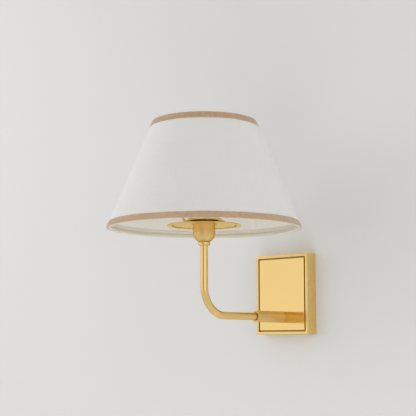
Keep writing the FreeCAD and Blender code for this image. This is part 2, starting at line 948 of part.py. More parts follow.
def make_retaining_ring():
    """Ring on the barrel: a flange below and a fluted grip above."""
    hole = ring_hole / 2
    flange = size.ring_flange_diameter / 2
    grip = size.ring_grip_diameter / 2
    corners = [
        (hole, NOTHING),
        (flange, NOTHING),
        (flange, size.ring_flange_height),
        (grip, size.ring_flange_height),
        (grip, size.ring_height),
        (hole, size.ring_height),
    ]
    body = turned("retaining_ring", corners)
    flute = new_sketch(body, "flute", "XY_Plane", size.ring_height)
    draw_circle(flute, grip, NOTHING, size.flute_diameter)
    cut = pocket(body, flute, size.ring_height - size.ring_flange_height)
    flutes = body.newObject("PartDesign::PolarPattern", "retaining_ring_flutes")
    flutes.Originals = [cut]
    flutes.Axis = (flute, ["N_Axis"])
    flutes.Angle = FULL_TURN
    bind(flutes, Occurrences=size.flute_count)
    body.Tip = flutes
    place(body, outward=-arm_axis, up=fitter_top)
    node(body)


def make_fitter_ring():
    """The shade's fitter, a shallow dish upside down: a flat rim, a step up and the barrel's hole."""
    hole = ring_hole / 2
    step = size.fitter_hole_diameter / 2
    outer = size.fitter_diameter / 2
    rise = size.fitter_step
    thickness = size.fitter_thickness
    corners = [
        (hole, rise),
        (step - thickness, rise),
        (step, NOTHING),
        (outer, NOTHING),
        (outer, thickness),
        (step + thickness / 2, thickness),
        (step - thickness / 2, rise + thickness),
        (hole, rise + thickness),
    ]
    body = turned("fitter_ring", corners)
    place(body, outward=-arm_axis, up=shoulder_top - size.fitter_step)
    node(body)


def shade_radius(height):
    """Outside radius of the fabric at a height above the shade's lower rim."""
    return size.shade_bottom_radius + shade_slope * height


def cone_outline(bottom, top, outer_inset, inner_inset):
    """Outline of a thin cone shell between two heights, from two insets of the fabric's outside."""
    return [
        (shade_radius(bottom) - inner_inset, bottom),
        (shade_radius(bottom) - outer_inset, bottom),
        (shade_radius(top) - outer_inset, top),
        (shade_radius(top) - inner_inset, top),
    ]


def make_shade_skins():
    """Fabric cone and the lining inside it."""
    whole = (NOTHING, size.shade_height)
    fabric = turned("shade_fabric", cone_outline(*whole, NOTHING, size.fabric_thickness))
    lining = turned("shade_lining", cone_outline(*whole, size.fabric_thickness, shade_skin))
    for piece in (fabric, lining):
        place(piece, outward=-arm_axis, up=shade_bottom)
        node(piece)


def make_trim(label, rim, side):
    """Ribbon round a rim, folded over its edge. The side is 1 at the lower rim and -1 at the upper."""
    edge = rim - size.trim_thickness * side
    reach = rim + size.trim_height * side
    corners = [
        (shade_radius(rim) - shade_skin, edge),
        (shade_radius(edge) + size.trim_thickness, edge),
        (shade_radius(reach) + size.trim_thickness, reach),
        (shade_radius(reach), reach),
        (shade_radius(rim), rim),
        (shade_radius(rim) - shade_skin, rim),
    ]
    body = turned(label, corners)
    place(body, outward=-arm_axis, up=shade_bottom)
    node(body)


def frame_wire_place(rim, side):
    """Radius and height of a frame ring's centre line, just inside the lining at a rim.

    The lining leans, so its level distance from the wire is longer than the gap square to it.
    """
    wire_and_gap = size.frame_wire_diameter / 2 + size.frame_wire_gap
    height = rim + wire_and_gap * side
    lean = root(shade_slope * shade_slope + 1)
    return shade_radius(height) - shade_skin - wire_and_gap * lean, height


def make_wire_ring(label, rim, side):
    ring = doc.addObject("Part::Torus", label)
    ring.Label = label
    radius, height = frame_wire_place(rim, side)
    bind(ring, Radius1=radius, Radius2=size.frame_wire_diameter / 2)
    place(ring, outward=-arm_axis, up=shade_bottom + height)
    return node(ring)


def hem_tape_body(label, rim, side):
    """Tape inside a rim: flat on the lining, then round the frame wire to the rim's edge."""
    tape = size.tape_thickness
    wire = size.frame_wire_diameter
    centre, height = frame_wire_place(rim, side)
    hollow = centre - wire / 2 - size.frame_wire_gap
    edge = rim - size.trim_thickness * side
    wire_end = height + wire / 2 * side
    flat = wire_end + wire * side
    reach = rim + size.tape_height * side
    corners = [
        (hollow - tape, edge),
        (shade_radius(rim) - shade_skin, edge),
        (shade_radius(rim) - shade_skin, rim),
        (hollow, rim),
        (hollow, wire_end),
        (shade_radius(flat) - shade_skin, flat),
        (shade_radius(reach) - shade_skin, reach),
        (shade_radius(reach) - shade_skin - tape, reach),
        (shade_radius(flat) - shade_skin - tape, flat + tape * side / 2),
        (hollow - tape, wire_end + tape * side / 2),
    ]
    body = turned(label, corners)
    place(body, outward=-arm_axis, up=shade_bottom)
    return body


def make_shade_arms(top_ring):
    """Wires from the fitter up to the top ring, each cut to the ring it is welded to."""
    wires = []
    wire = size.arm_wire_diameter
    radius, height = frame_wire_place(size.shade_height, -1)
    foot_height = shoulder_top - size.fitter_step + size.fitter_thickness + wire / 2
    foot_start = size.fitter_hole_diameter / 2 + size.arm_wire_foot
    foot_end = size.fitter_diameter / 2
    rise = shade_bottom + height - foot_height
    for index in range(DRIVING["shade_arm_count"]):
        label = f"shade_arm_{index + 1}"
        body = new_body(f"{label}_wire")
        spine = new_sketch(body, "spine", "XZ_Plane")
        knee_start = foot_end - size.arm_wire_run
        draw_path(
            spine,
            [
                (foot_start, NOTHING),
                (knee_start, NOTHING),
                (foot_end + size.arm_wire_run, size.arm_wire_bend, size.arm_wire_bend),
                (radius, rise),
            ],
            closed=False,
        )
        section = new_sketch(body, "section", "YZ_Plane", foot_start)
        draw_circle(section, NOTHING, NOTHING, wire)
        pipe = body.newObject("PartDesign::AdditivePipe", f"{label}_pipe")
        pipe.Profile = section
        pipe.Spine = (spine, ["Edge1", "Edge2", "Edge3"])
        angle = FIRST_ARM_ANGLE + index * FULL_TURN / DRIVING["shade_arm_count"]
        turn = Rotation(Vector(0, 0, 1), angle)
        place(body, outward=-arm_axis, up=foot_height, turn=turn)
        wires.append(node(cut_away(label, body, top_ring)))
    return wires


def make_shade():
    """The shade; its upper tape is notched where the arms come up to the ring."""
    make_shade_skins()
    make_trim("bottom_trim", NOTHING, 1)
    make_trim("top_trim", size.shade_height, -1)
    make_wire_ring("bottom_wire_ring", NOTHING, 1)
    top_ring = make_wire_ring("top_wire_ring", size.shade_height, -1)
    arms = doc.addObject("Part::Compound", "shade_arms")
    arms.Links = make_shade_arms(top_ring)
    node(hem_tape_body("bottom_hem_tape", NOTHING, 1))
    whole_tape = hem_tape_body("whole_top_tape", size.shade_height, -1)
    node(cut_away("top_hem_tape", whole_tape, arms))


def make_lamp():
    """Replaceable lamp: solder contact, glass insulator, screw cap and frosted bulb."""
    contact_radius = size.lamp_contact_diameter / 2
    cap_outer = size.lamp_cap_diameter / 2
    cap_inner = cap_outer - size.lamp_cap_wall
    insulator_bottom = size.lamp_contact_height
    cap_bottom = insulator_bottom + size.lamp_insulator_height
    cap_top = cap_bottom + size.lamp_cap_height
    contact = turned(
        "lamp_contact",
        [
            (NOTHING, NOTHING),
            (contact_radius / 2, NOTHING),
            (contact_radius, insulator_bottom),
            (NOTHING, insulator_bottom),
        ],
    )
    insulator = turned(
        "lamp_insulator",
        [
            (NOTHING, insulator_bottom),
            (contact_radius, insulator_bottom),
            (cap_inner - size.lamp_cap_wall, cap_bottom),
            (NOTHING, cap_bottom),
        ],
    )
    cap = turned(
        "lamp_cap",
        [
            (NOTHING, cap_bottom),
            (cap_inner - size.lamp_cap_wall, cap_bottom),
            (cap_outer, cap_bottom + size.lamp_cap_wall * 2),
            (cap_outer, cap_top),
            (cap_inner, cap_top),
            (cap_inner, cap_bottom + size.lamp_cap_wall * 2),
            (NOTHING, cap_bottom + size.lamp_cap_wall * 2),
        ],
    )
    neck = size.lamp_neck_diameter / 2
    bulb = size.lamp_bulb_diameter / 2
    wall = size.lamp_glass_wall
    glass_bottom = cap_top - size.lamp_neck_entry
    widest = cap_top + size.lamp_neck_length
    glass = turned(
        "lamp_glass",
        [
            (neck - wall, glass_bottom),
            (neck, glass_bottom),
            (neck, cap_top + wall),
            (bulb, widest, -size.lamp_neck_curve),
            (NOTHING, widest + bulb, bulb),
            (NOTHING, widest + bulb - wall),
            (bulb - wall, widest, wall - bulb),
            (neck - wall, cap_top + wall, size.lamp_neck_curve),
        ],
    )
    for piece in (contact, insulator, cap, glass):
        place(piece, outward=-arm_axis, up=lamp_bottom)
        node(piece)


def make_connectors():
    """Wire caps in the plate's hollow, two with the mouth down and one with the mouth up."""
    outer = size.connector_diameter / 2
    bore = size.wire_diameter / 2
    corners = [
        (bore, NOTHING),
        (outer, NOTHING),
        (size.connector_tip_diameter / 2, size.connector_length),
        (NOTHING, size.connector_length),
        (NOTHING, size.connector_bore_depth),
        (bore, size.connector_bore_depth),
    ]
    members = []
    for side in (1, -1):
        cap = turned("wire_cap_right" if side > 0 else "wire_cap_left", corners)
        place(
            cap,
            across=size.connector_spacing * side,
            outward=-size.connector_depth,
            up=size.connector_height,
        )
        members.append(cap)
    middle = turned("wire_cap_middle", corners)
    place(
        middle,
        outward=-size.connector_depth,
        up=size.connector_height + size.connector_length,
        turn=UPSIDE_DOWN,
    )
    members.append(middle)
    group("wire_connectors", members)


def make_supply_wire(label, side):
    """Insulated wire from a wire cap, through the sleeve, the tube and the cup, to a terminal."""
    in_tube = size.wire_spread / 2 * side
    rear_run = size.strap_thickness + size.wire_diameter / 2 + size.wire_start
    cap_across = size.connector_spacing * side
    cap_end = size.connector_height + size.connector_bore_depth
    below_cap = size.connector_height - size.connector_length / 2
    nipple_top = base_bottom + size.base_floor + size.thread_end
    terminal = disc_top - size.spigot_height - size.small_head_height
    spread_start = nipple_top + size.wire_start
    spread_end = terminal - size.wire_diameter
    points = [
        (cap_across, -size.connector_depth, cap_end),
        (cap_across, -size.connector_depth, below_cap),
        (in_tube, -rear_run, below_cap - size.connector_length),
        (in_tube, -rear_run, -size.arm_drop),
        (in_tube, -arm_axis, -size.arm_drop),
        (in_tube, -arm_axis, spread_start),
        (size.terminal_offset * side, -arm_axis, spread_end),
        (size.terminal_offset * side, -arm_axis, terminal),
    ]
    bend = size.wire_end_bend
    tight = size.wire_diameter
    radii = [bend, bend, bend, size.bend_radius, tight / 2, tight / 2]
    return swept_wire(label, points, radii, size.wire_diameter)


def make_ground_wire():
    """Bare earth wire from under the ground screw's head to the middle wire cap."""
    start_depth = size.strap_thickness + size.wire_diameter / 2
    beside = size.ground_screw_across - size.small_head_diameter / 2
    cap_mouth = size.connector_height + size.connector_length
    cap_end = cap_mouth - size.connector_bore_depth
    points = [
        (beside, -start_depth, size.ground_screw_height),
        (size.wire_diameter, -start_depth, size.ground_screw_height),
        (NOTHING, -size.connector_depth, cap_mouth + size.wire_diameter),
        (NOTHING, -size.connector_depth, cap_end),
    ]
    radii = [size.wire_end_bend / 2, size.wire_diameter / 2]
    return swept_wire("wire_ground", points, radii, size.wire_diameter)


def check_and_write():
    """Stop on any failed object or bad shape, then write one file for each node."""
    doc.recompute()
    for thing in doc.Objects:
        if "Invalid" in thing.State or "Error" in thing.State:
            raise ValueError(f"{thing.Name} failed: {thing.State}")
    os.makedirs("parts", exist_ok=True)
    for piece in NODES:
        if piece.Shape.isNull() or not piece.Shape.isValid():
            raise ValueError(f"{piece.Label} has a bad shape")
        if piece.Shape.Volume <= 0 or not piece.Shape.Solids:
            raise ValueError(f"{piece.Label} is no solid")
    for piece in NODES:
        piece.Shape.exportStep(f"parts/{piece.Label}.step")
        print(piece.Label, len(piece.Shape.Solids), round(piece.Shape.Volume, 1))


make_mounting_bracket()
make_backplate()
make_inset_panel()
make_plate_screws()
make_ground_screw()
make_arm_sleeve()
make_sleeve_set_screw()
make_sleeve_fixings()
make_arm_tube()
make_arm_collar()
make_socket_cup()
make_cup_fixings()
make_glare_disc()
make_socket_base()
make_socket_body()
make_live_parts()
make_retaining_ring()
make_fitter_ring()
make_shade()
make_lamp()
make_connectors()
make_supply_wire("wire_hot", 1)
make_supply_wire("wire_neutral", -1)
make_ground_wire()
check_and_write()
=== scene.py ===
import math

import bpy
import numpy as np
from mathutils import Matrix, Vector


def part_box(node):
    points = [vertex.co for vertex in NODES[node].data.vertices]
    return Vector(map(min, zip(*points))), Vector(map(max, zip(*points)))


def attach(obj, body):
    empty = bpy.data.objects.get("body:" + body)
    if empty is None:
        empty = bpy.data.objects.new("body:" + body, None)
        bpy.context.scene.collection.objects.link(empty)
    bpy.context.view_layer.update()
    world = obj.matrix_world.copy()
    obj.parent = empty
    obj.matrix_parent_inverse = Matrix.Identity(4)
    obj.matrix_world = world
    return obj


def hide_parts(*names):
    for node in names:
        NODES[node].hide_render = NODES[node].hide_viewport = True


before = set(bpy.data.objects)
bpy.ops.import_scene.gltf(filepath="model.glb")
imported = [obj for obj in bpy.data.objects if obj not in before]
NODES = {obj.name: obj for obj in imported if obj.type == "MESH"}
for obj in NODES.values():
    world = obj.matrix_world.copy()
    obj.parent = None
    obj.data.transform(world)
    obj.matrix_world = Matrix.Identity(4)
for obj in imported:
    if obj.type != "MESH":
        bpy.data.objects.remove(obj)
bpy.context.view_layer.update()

FULL_TURN = 2 * math.pi

# The shade's measures, in metres
LAMP_Y = -0.225
SHADE_BOTTOM = 0.1067
SHADE_HEIGHT = 0.1836
BOTTOM_RADIUS = 0.1658
TOP_RADIUS = 0.0897
SLOPE = (TOP_RADIUS - BOTTOM_RADIUS) / SHADE_HEIGHT
LEAN = math.hypot(1.0, SLOPE)
CONE_SINE = -SLOPE / LEAN
FABRIC_THICKNESS = 0.0010
SKIN_THICKNESS = 0.0018
TRIM_THICKNESS = 0.0010
TRIM_HEIGHT = 0.0098
RIBBON_THICKNESS = 0.0008
TAPE_THICKNESS = 0.0005
TAPE_HEIGHT = 0.0112
WIRE_DIAMETER = 0.0030
WIRE_GAP = 0.0001
ARM_ANGLES = (math.radians(90), math.radians(210), math.radians(330))
SEAM_ANGLE = math.radians(97)
LOWER_JOIN_ANGLE = math.radians(101)
UPPER_JOIN_ANGLE = math.radians(103)

# Unevenness of the stretched cloth, in waves: height, waves in a turn, start, drift up the shade
RIPPLES = ((0.00030, 3, 0.7, 0.0), (0.00018, 5, 2.1, 0.0), (0.00012, 8, 0.4, 2.0))

# The lamp holder's and the lamp's measures, in metres
HOLDER_BOTTOM = 0.1080
NECK_HEIGHT = 0.0067
NECK_RADIUS = 0.0145
SHOULDER_HEIGHT = 0.0064
SHOULDER_RADIUS = 0.0235
BARREL_HEIGHT = 0.0289
BARREL_RADIUS = 0.0199
HOLDER_BORE_RADIUS = 0.0148
HOLDER_FLOOR_HEIGHT = 0.0110
HOLDER_EYE_RADIUS = 0.0015
BARREL_THREAD_PITCH = 0.0025
BARREL_THREAD_DEPTH = 0.0009
BARREL_THREAD_CREST = 0.35
SHELL_HEIGHT = 0.0280
SHELL_OUTER_RADIUS = 0.01474
SHELL_INNER_RADIUS = 0.01385
LAMP_CAP_RADIUS = 0.0130
LAMP_CAP_WALL = 0.00045
LAMP_THREAD_PITCH = 0.0254 / 7
LAMP_THREAD_CREST = 0.1
LAMP_THREAD_DEPTH = 0.0006
SHELL_THREAD_DEPTH = 0.00045

# The backplate's, the sleeve's and the disc's places, in metres
SLEEVE_AXIS_Z = -0.0412
GROOVE_X = 0.0562
GROOVE_Z = 0.0680
GROOVE_Y = (-0.0232, -0.0229)
PANEL_SIDE_Y = (-0.0233, -0.0229)
DISC_STEP_RADIUS = 0.0543


# Meshes

def cone_radius(height):
    """Outside radius of the fabric at a height above the shade's lower rim."""
    return BOTTOM_RADIUS + SLOPE * height


def smooth_step(low, high, value):
    share = np.clip((value - low) / (high - low), 0.0, 1.0)
    return share * share * (3.0 - 2.0 * share)


def ripple(angle, height):
    """Unevenness that every layer of the shade shares: none at the rims, most half way up."""
    share = np.clip(height / SHADE_HEIGHT, 0.0, 1.0)
    swell = sum(
        size * np.sin(count * angle + start + drift * share)
        for size, count, start, drift in RIPPLES
    )
    return swell * np.sin(np.pi * share)


def waves(angle, *parts):
    """Sum of waves round the shade. Each part is (size, waves in a turn, start)."""
    return sum(size * math.sin(count * angle + start) for size, count, start in parts)


def overlap(angle, radius, start, rise, plateau, fall):
    """Height of a glued overlap: a cut edge at the start angle, then a plateau that fades out."""
    cut_edge = 0.0003
    away = np.arctan2(np.sin(angle - start), np.cos(angle - start)) * radius
    up = smooth_step(0.0, cut_edge, away)
    down = 1.0 - smooth_step(plateau, plateau + fall, away)
    return rise * up * down


def smooth_path(points, steps):
    """Points on a smooth curve through the given ones."""
    points = np.array(points, float)
    ends = np.vstack([2 * points[0] - points[1], points, 2 * points[-1] - points[-2]])
    path = []
    for index in range(1, len(ends) - 2):
        before, start, end, after = ends[index - 1:index + 3]
        for share in np.linspace(0.0, 1.0, steps, endpoint=False):
            path.append(
                0.5 * (
                    2 * start
                    + (end - before) * share
                    + (2 * before - 5 * start + 4 * end - after) * share ** 2
                    + (3 * start - before - 3 * end + after) * share ** 3
                )
            )
    path.append(ends[-2])
    return np.array(path)


def band(path, thickness, bead):
    """Closed outline round a path, with round ends, and how far along the path each point is.

    The bead thickens the band near both of its edges, as a selvedge does.
    """
    bead_place = 0.0004
    tangent = np.gradient(path, axis=0)
    tangent /= np.linalg.norm(tangent, axis=1)[:, None]
    normal = np.stack([-tangent[:, 1], tangent[:, 0]], axis=1)
    lengths = np.linalg.norm(np.diff(path, axis=0), axis=1)
    along = np.concatenate([[0.0], np.cumsum(lengths)])
    edge = np.minimum(along, along[-1] - along)
    half = thickness / 2 + bead * np.exp(-((edge - bead_place) / bead_place) ** 2)
    left = path + normal * half[:, None]
    right = path - normal * half[:, None]
    turns = np.radians([45, 90, 135])

    def cap(centre, outward, side, radius):
        return [
            centre + side * radius * math.cos(turn) + outward * radius * math.sin(turn)
            for turn in turns
        ]

    end_cap = cap(path[-1], tangent[-1], normal[-1], half[-1])
    start_cap = cap(path[0], -tangent[0], -normal[0], half[0])
    outline = np.vstack([left, end_cap, right[::-1], start_cap])
    end_places = [along[-1]] * len(turns)
    start_places = [0.0] * len(turns)
    place = np.concatenate([along, end_places, along[::-1], start_places])
    return outline, place


def signed_area(section):
    following = np.roll(section, -1, axis=0)
    return 0.5 * np.sum(section[:, 0] * following[:, 1] - following[:, 0] * section[:, 1])


def turned_mesh(name, sections, angles, lay=None, closed=True, centre=(0.0, LAMP_Y), sharp=40):
    """Mesh of a closed section carried round an upright axis.

    sections holds one (radius, height) outline for each angle. lay holds, for each angle and
    outline point, its place on the flat cloth, with one more angle at the end of a closed mesh.
    """
    sections = np.array(sections, float)
    columns, rows = sections.shape[:2]
    if signed_area(sections[0]) < 0:
        sections = sections[:, ::-1]
        lay = None if lay is None else lay[:, ::-1]
    angles = np.array(angles, float)
    vertices = np.empty((columns, rows, 3))
    vertices[..., 0] = centre[0] + sections[..., 0] * np.cos(angles)[:, None]
    vertices[..., 1] = centre[1] + sections[..., 0] * np.sin(angles)[:, None]
    vertices[..., 2] = sections[..., 1]
    column, row = np.meshgrid(
        np.arange(columns if closed else columns - 1), np.arange(rows), indexing="ij"
    )
    column, row = column.ravel(), row.ravel()
    next_column, next_row = (column + 1) % columns, (row + 1) % rows
    quads = np.stack(
        [
            column * rows + row,
            next_column * rows + row,
            next_column * rows + next_row,
            column * rows + next_row,
        ],
        axis=1,
    )
    faces = quads.tolist()
    if not closed:
        faces.append(list(range(rows))[::-1])
        faces.append([(columns - 1) * rows + index for index in range(rows)])
    mesh = bpy.data.meshes.new(name)
    mesh.from_pydata(vertices.reshape(-1, 3).tolist(), [], faces)
    mesh.polygons.foreach_set("use_smooth", [True] * len(mesh.polygons))
    if lay is not None:
        corners = np.stack(
            [
                lay[column, row],
                lay[column + 1, row],
                lay[column + 1, next_row],
                lay[column, next_row],
            ],
            axis=1,
        ).reshape(-1, 2)
        if not closed:
            corners = np.vstack([corners, lay[0, ::-1], lay[columns - 1]])
        cut = mesh.uv_layers.new(name="weave")
        cut.data.foreach_set("uv", corners.astype(np.float32).ravel())
    mesh.update()
    mesh.set_sharp_from_angle(angle=math.radians(sharp))
    return mesh


def placed(name, data):
    """New object in the scene."""
    thing = bpy.data.objects.new(name, data)
    bpy.context.scene.collection.objects.link(thing)
    return thing


def piece(name, meshes, material, body, node_name):
    """Piece of the visual model, joined from its meshes.

    It rides on a body, takes the given material, and hides the CAD node that it replaces.
    """
    things = [placed(name, mesh) for mesh in meshes]
    thing = things[0]
    if len(things) > 1:
        with bpy.context.temp_override(active_object=thing, selected_editable_objects=things):
            bpy.ops.object.join()
    thing.data.materials.append(material)
    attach(thing, body)
    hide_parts(node_name)
    return thing


# Node trees

class Nodes:
    """Short calls for the nodes of a tree."""

    def __init__(self, tree):
        self.tree = tree

    def add(self, kind, inputs=(), **settings):
        node = self.tree.nodes.new(kind)
        for key, value in settings.items():
            setattr(node, key, value)
        for key, value in dict(inputs).items():
            self.feed(node.inputs[key], value)
        return node

    def feed(self, socket, value):
        if isinstance(value, bpy.types.NodeSocket):
            self.tree.links.new(value, socket)
        else:
            socket.default_value = value

    def math(self, operation, first, second=0.0):
        return self.add("ShaderNodeMath", {0: first, 1: second}, operation=operation).outputs[0]

    def parts(self, vector):
        return self.add("ShaderNodeSeparateXYZ", {"Vector": vector}).outputs

    def spread(self, value, low, high, start=0.3, end=0.7, **settings):
        """Low where the value is at the start, and high where it is at the end."""
        inputs = {
            "Value": value,
            "From Min": start,
            "From Max": end,
            "To Min": low,
            "To Max": high,
        }
        return self.add("ShaderNodeMapRange", inputs, **settings).outputs["Result"]


class Paint(Nodes):
    """Node material with a principled shader."""

    def __init__(self, name, **fixed):
        self.material = bpy.data.materials.new(name)
        self.material.use_nodes = True
        super().__init__(self.material.node_tree)
        self.shader = self.tree.nodes["Principled BSDF"]
        for key, value in fixed.items():
            self.shader.inputs[key.replace("_", " ")].default_value = value
        self.place = self.add("ShaderNodeTexCoord").outputs["Object"]

    def vector(self, operation, first, second=(0.0, 0.0, 0.0)):
        node = self.add("ShaderNodeVectorMath", {0: first, 1: second}, operation=operation)
        return node.outputs["Value" if operation == "LENGTH" else "Vector"]

    def combine(self, x=0.0, y=0.0, z=0.0):
        return self.add("ShaderNodeCombineXYZ", {"X": x, "Y": y, "Z": z}).outputs[0]

    def stretched(self, scale, vector=None):
        return self.vector("MULTIPLY", vector or self.place, scale)

    def noise(self, scale, detail=3.0, roughness=0.55, vector=None):
        inputs = {
            "Vector": vector or self.place,
            "Scale": scale,
            "Detail": detail,
            "Roughness": roughness,
        }
        return self.add("ShaderNodeTexNoise", inputs).outputs["Fac"]

    def mixed(self, share, first, second):
        """First colour where the share is 0, and second where it is 1."""
        node = self.add("ShaderNodeMix", data_type="RGBA")
        for key, value in {"Factor": share, "A": first, "B": second}.items():
            fitting = [
                socket for socket in node.inputs
                if socket.name == key and (key == "Factor" or socket.type == "RGBA")
            ]
            self.feed(fitting[0], value)
        return [socket for socket in node.outputs if socket.type == "RGBA"][0]

    def set(self, key, value):
        self.tree.links.new(value, self.shader.inputs[key])

    def bump(self, height, distance, strength=1.0):
        """Adds a bump on top of those that the shader already has."""
        inputs = {"Height": height, "Distance": distance, "Strength": strength}
        normal = self.shader.inputs["Normal"]
        if normal.is_linked:
            inputs["Normal"] = normal.links[0].from_socket
        self.set("Normal", self.add("ShaderNodeBump", inputs).outputs["Normal"])


def tone(red, green, blue, lift=1.0):
    return (min(red * lift, 1.0), min(green * lift, 1.0), min(blue * lift, 1.0), 1.0)


# Darker copy of a colour, for painted shade between threads and between ribs
def darker(colour, share):
    return tuple(channel * share for channel in colour[:3]) + (1.0,)


# Metals

BRASS = (0.94, 0.67, 0.27)
PANEL_BRASS = (0.95, 0.68, 0.28)
STEEL = (0.62, 0.64, 0.66)
NICKEL = (0.72, 0.69, 0.64)
ALUMINIUM = (0.80, 0.79, 0.77)
COPPER = (0.82, 0.44, 0.28)
SOLDER = (0.60, 0.60, 0.58)
BRASS_EDGE = (0.97, 0.84, 0.56, 1.0)
DEEP_EDGE = (0.80, 0.58, 0.28, 1.0)
PLAIN_EDGE = (1.0, 1.0, 1.0, 1.0)
# Colour of painted shade in the groove round the panel and on the panel's sides
GROOVE_SHADE = (0.46, 0.29, 0.10, 1.0)
# Colour of painted shade in the corner of the disc's step
STEP_SHADE = (0.13, 0.075, 0.03, 1.0)
# Roughness added where painted shade is
PAINTED_SHADE_ROUGHNESS = 0.22
SMEAR = 0.95
QUARTER_TURN = 0.25
BRUSH_LINES = 5200.0
BRUSH_LENGTH = 45.0
TURNED_RINGS = 4200.0


def metal(
    name, colour, roughness, grain, depth=0.00001, wear=0.04, shift=0.04,
    edge=PLAIN_EDGE, turned_about=None, painted_shade=None, shade_colour=GROOVE_SHADE,
):
    """Metal with a grain: the grain is a stretched place, so that its lines run one way.

    wear is how much the roughness varies, and shift how much the colour does. Where the metal
    was turned about an axis, its fine rings smear what it mirrors along that axis.
    """
    paint = Paint(name, Metallic=1.0, Specular_Tint=edge)
    if turned_about:
        paint.shader.inputs["Anisotropic"].default_value = SMEAR
        paint.shader.inputs["Anisotropic Rotation"].default_value = QUARTER_TURN
        round_axis = paint.add("ShaderNodeTangent", direction_type="RADIAL", axis=turned_about)
        paint.set("Tangent", round_axis.outputs["Tangent"])
    lines = paint.noise(scale=1.0, detail=2.0, roughness=0.5, vector=grain(paint))
    smudge = paint.noise(scale=26.0)
    cloud = paint.noise(scale=7.0, detail=2.0)
    dull, bright = tone(*colour, 1.0 - shift), tone(*colour, 1.0 + shift)
    tint = paint.mixed(paint.spread(cloud, 0.0, 1.0), dull, bright)
    dark = tone(colour[0] * 0.93, colour[1] * 0.90, colour[2] * 0.84)
    fleck = paint.spread(lines, 0.0, 0.35, start=0.45, end=0.75)
    ground = paint.mixed(fleck, tint, dark)
    worn = paint.spread(smudge, roughness - wear, roughness + wear)
    # Where a mask is given, the metal is painted darker there in the given colour, as painted
    # shade, and made rougher
    if painted_shade:
        share = painted_shade(paint)
        ground = paint.mixed(share, ground, shade_colour)
        worn = paint.math("ADD", worn, paint.math("MULTIPLY", share, PAINTED_SHADE_ROUGHNESS))
    paint.set("Base Color", ground)
    paint.set("Roughness", paint.math("ADD", worn, paint.spread(lines, -0.02, 0.03)))
    paint.bump(lines, depth, strength=0.6)
    return paint.material


def brushed_up(paint):
    return paint.stretched((BRUSH_LINES, BRUSH_LINES, BRUSH_LENGTH))


def brushed_across(paint):
    return paint.stretched((BRUSH_LENGTH, BRUSH_LINES, BRUSH_LINES))


def brushed_along_bend(paint):
    """Fine scratches on the arm, which bends in the upright plane through the lamp's axis."""
    return paint.stretched((1500.0, 420.0, 420.0))


def lamp_axis_place(paint):
    """Distance from the lamp's axis, and height."""
    x, y, z = paint.parts(paint.vector("SUBTRACT", paint.place, (0.0, LAMP_Y, 0.0)))
    return paint.vector("LENGTH", paint.combine(x, y)), z


def turned_on_lamp_axis(paint):
    """Rings round the lamp's axis."""
    radius, height = lamp_axis_place(paint)
    return paint.stretched((TURNED_RINGS, TURNED_RINGS, 1.0), paint.combine(radius, height))


def turned_on_sleeve_axis(paint):
    """Rings round the sleeve's axis, which is level and square to the wall."""
    x, y, z = paint.parts(paint.vector("SUBTRACT", paint.place, (0.0, 0.0, SLEEVE_AXIS_Z)))
    radius = paint.vector("LENGTH", paint.combine(x, z))
    return paint.stretched((TURNED_RINGS, TURNED_RINGS, 1.0), paint.combine(radius, y))


def plain_grain(scale):
    def grain(paint):
        return paint.stretched((scale, scale, scale))
    return grain


def past(paint, value, start, end):
    """Where a value has passed an edge: 0 at its start and 1 at its end."""
    return paint.spread(value, 0.0, 1.0, start=start, end=end)


def groove_painted_shade(paint):
    """Mask of painted shade in the groove round the panel: deeper than the border's face, and
    inside the border.
    """
    soft = 0.0001
    x, y, z = paint.parts(paint.place)
    across = past(paint, paint.math("ABSOLUTE", x), GROOVE_X + soft, GROOVE_X - soft)
    upright = past(paint, paint.math("ABSOLUTE", z), GROOVE_Z + soft, GROOVE_Z - soft)
    deep = past(paint, y, *GROOVE_Y)
    return paint.math("MULTIPLY", paint.math("MULTIPLY", across, upright), deep)


def panel_side_painted_shade(paint):
    """Mask of painted shade on the sides of the panel, below its rounded edge."""
    return past(paint, paint.parts(paint.place)["Y"], *PANEL_SIDE_Y)


def disc_step_painted_shade(paint):
    """Mask of painted shade in the corner where the disc steps down to its rim."""
    half_width, fade = 0.0008, 0.0005
    radius, _ = lamp_axis_place(paint)
    away = paint.math("ABSOLUTE", paint.math("SUBTRACT", radius, DISC_STEP_RADIUS))
    return past(paint, away, half_width + fade, half_width)


# The plate is painted darker in the groove round the panel: painted shade
brass_plate = metal(
    "satin_brass_plate", BRASS, 0.26, brushed_up, wear=0.02, shift=0.02,
    edge=BRASS_EDGE, painted_shade=groove_painted_shade,
)
# The panel is painted darker on its sides: painted shade
brass_polished = metal(
    "polished_brass_panel", PANEL_BRASS, 0.10, brushed_across, depth=0.000002, wear=0.02,
    shift=0.015, edge=BRASS_EDGE, painted_shade=panel_side_painted_shade,
)
brass_tube = metal(
    "satin_brass_tube", BRASS, 0.18, brushed_along_bend, depth=0.000006, wear=0.03,
    edge=DEEP_EDGE,
)
brass_sleeve = metal(
    "satin_brass_sleeve", BRASS, 0.34, turned_on_sleeve_axis, depth=0.000005, wear=0.03,
    edge=DEEP_EDGE, turned_about="Y",
)
brass_cup = metal(
    "satin_brass_cup", BRASS, 0.31, turned_on_lamp_axis, depth=0.000005, wear=0.03,
    edge=DEEP_EDGE, turned_about="Z",
)
brass_collar = metal(
    "satin_brass_collar", BRASS, 0.12, turned_on_lamp_axis, depth=0.000005, wear=0.03,
    edge=DEEP_EDGE,
)
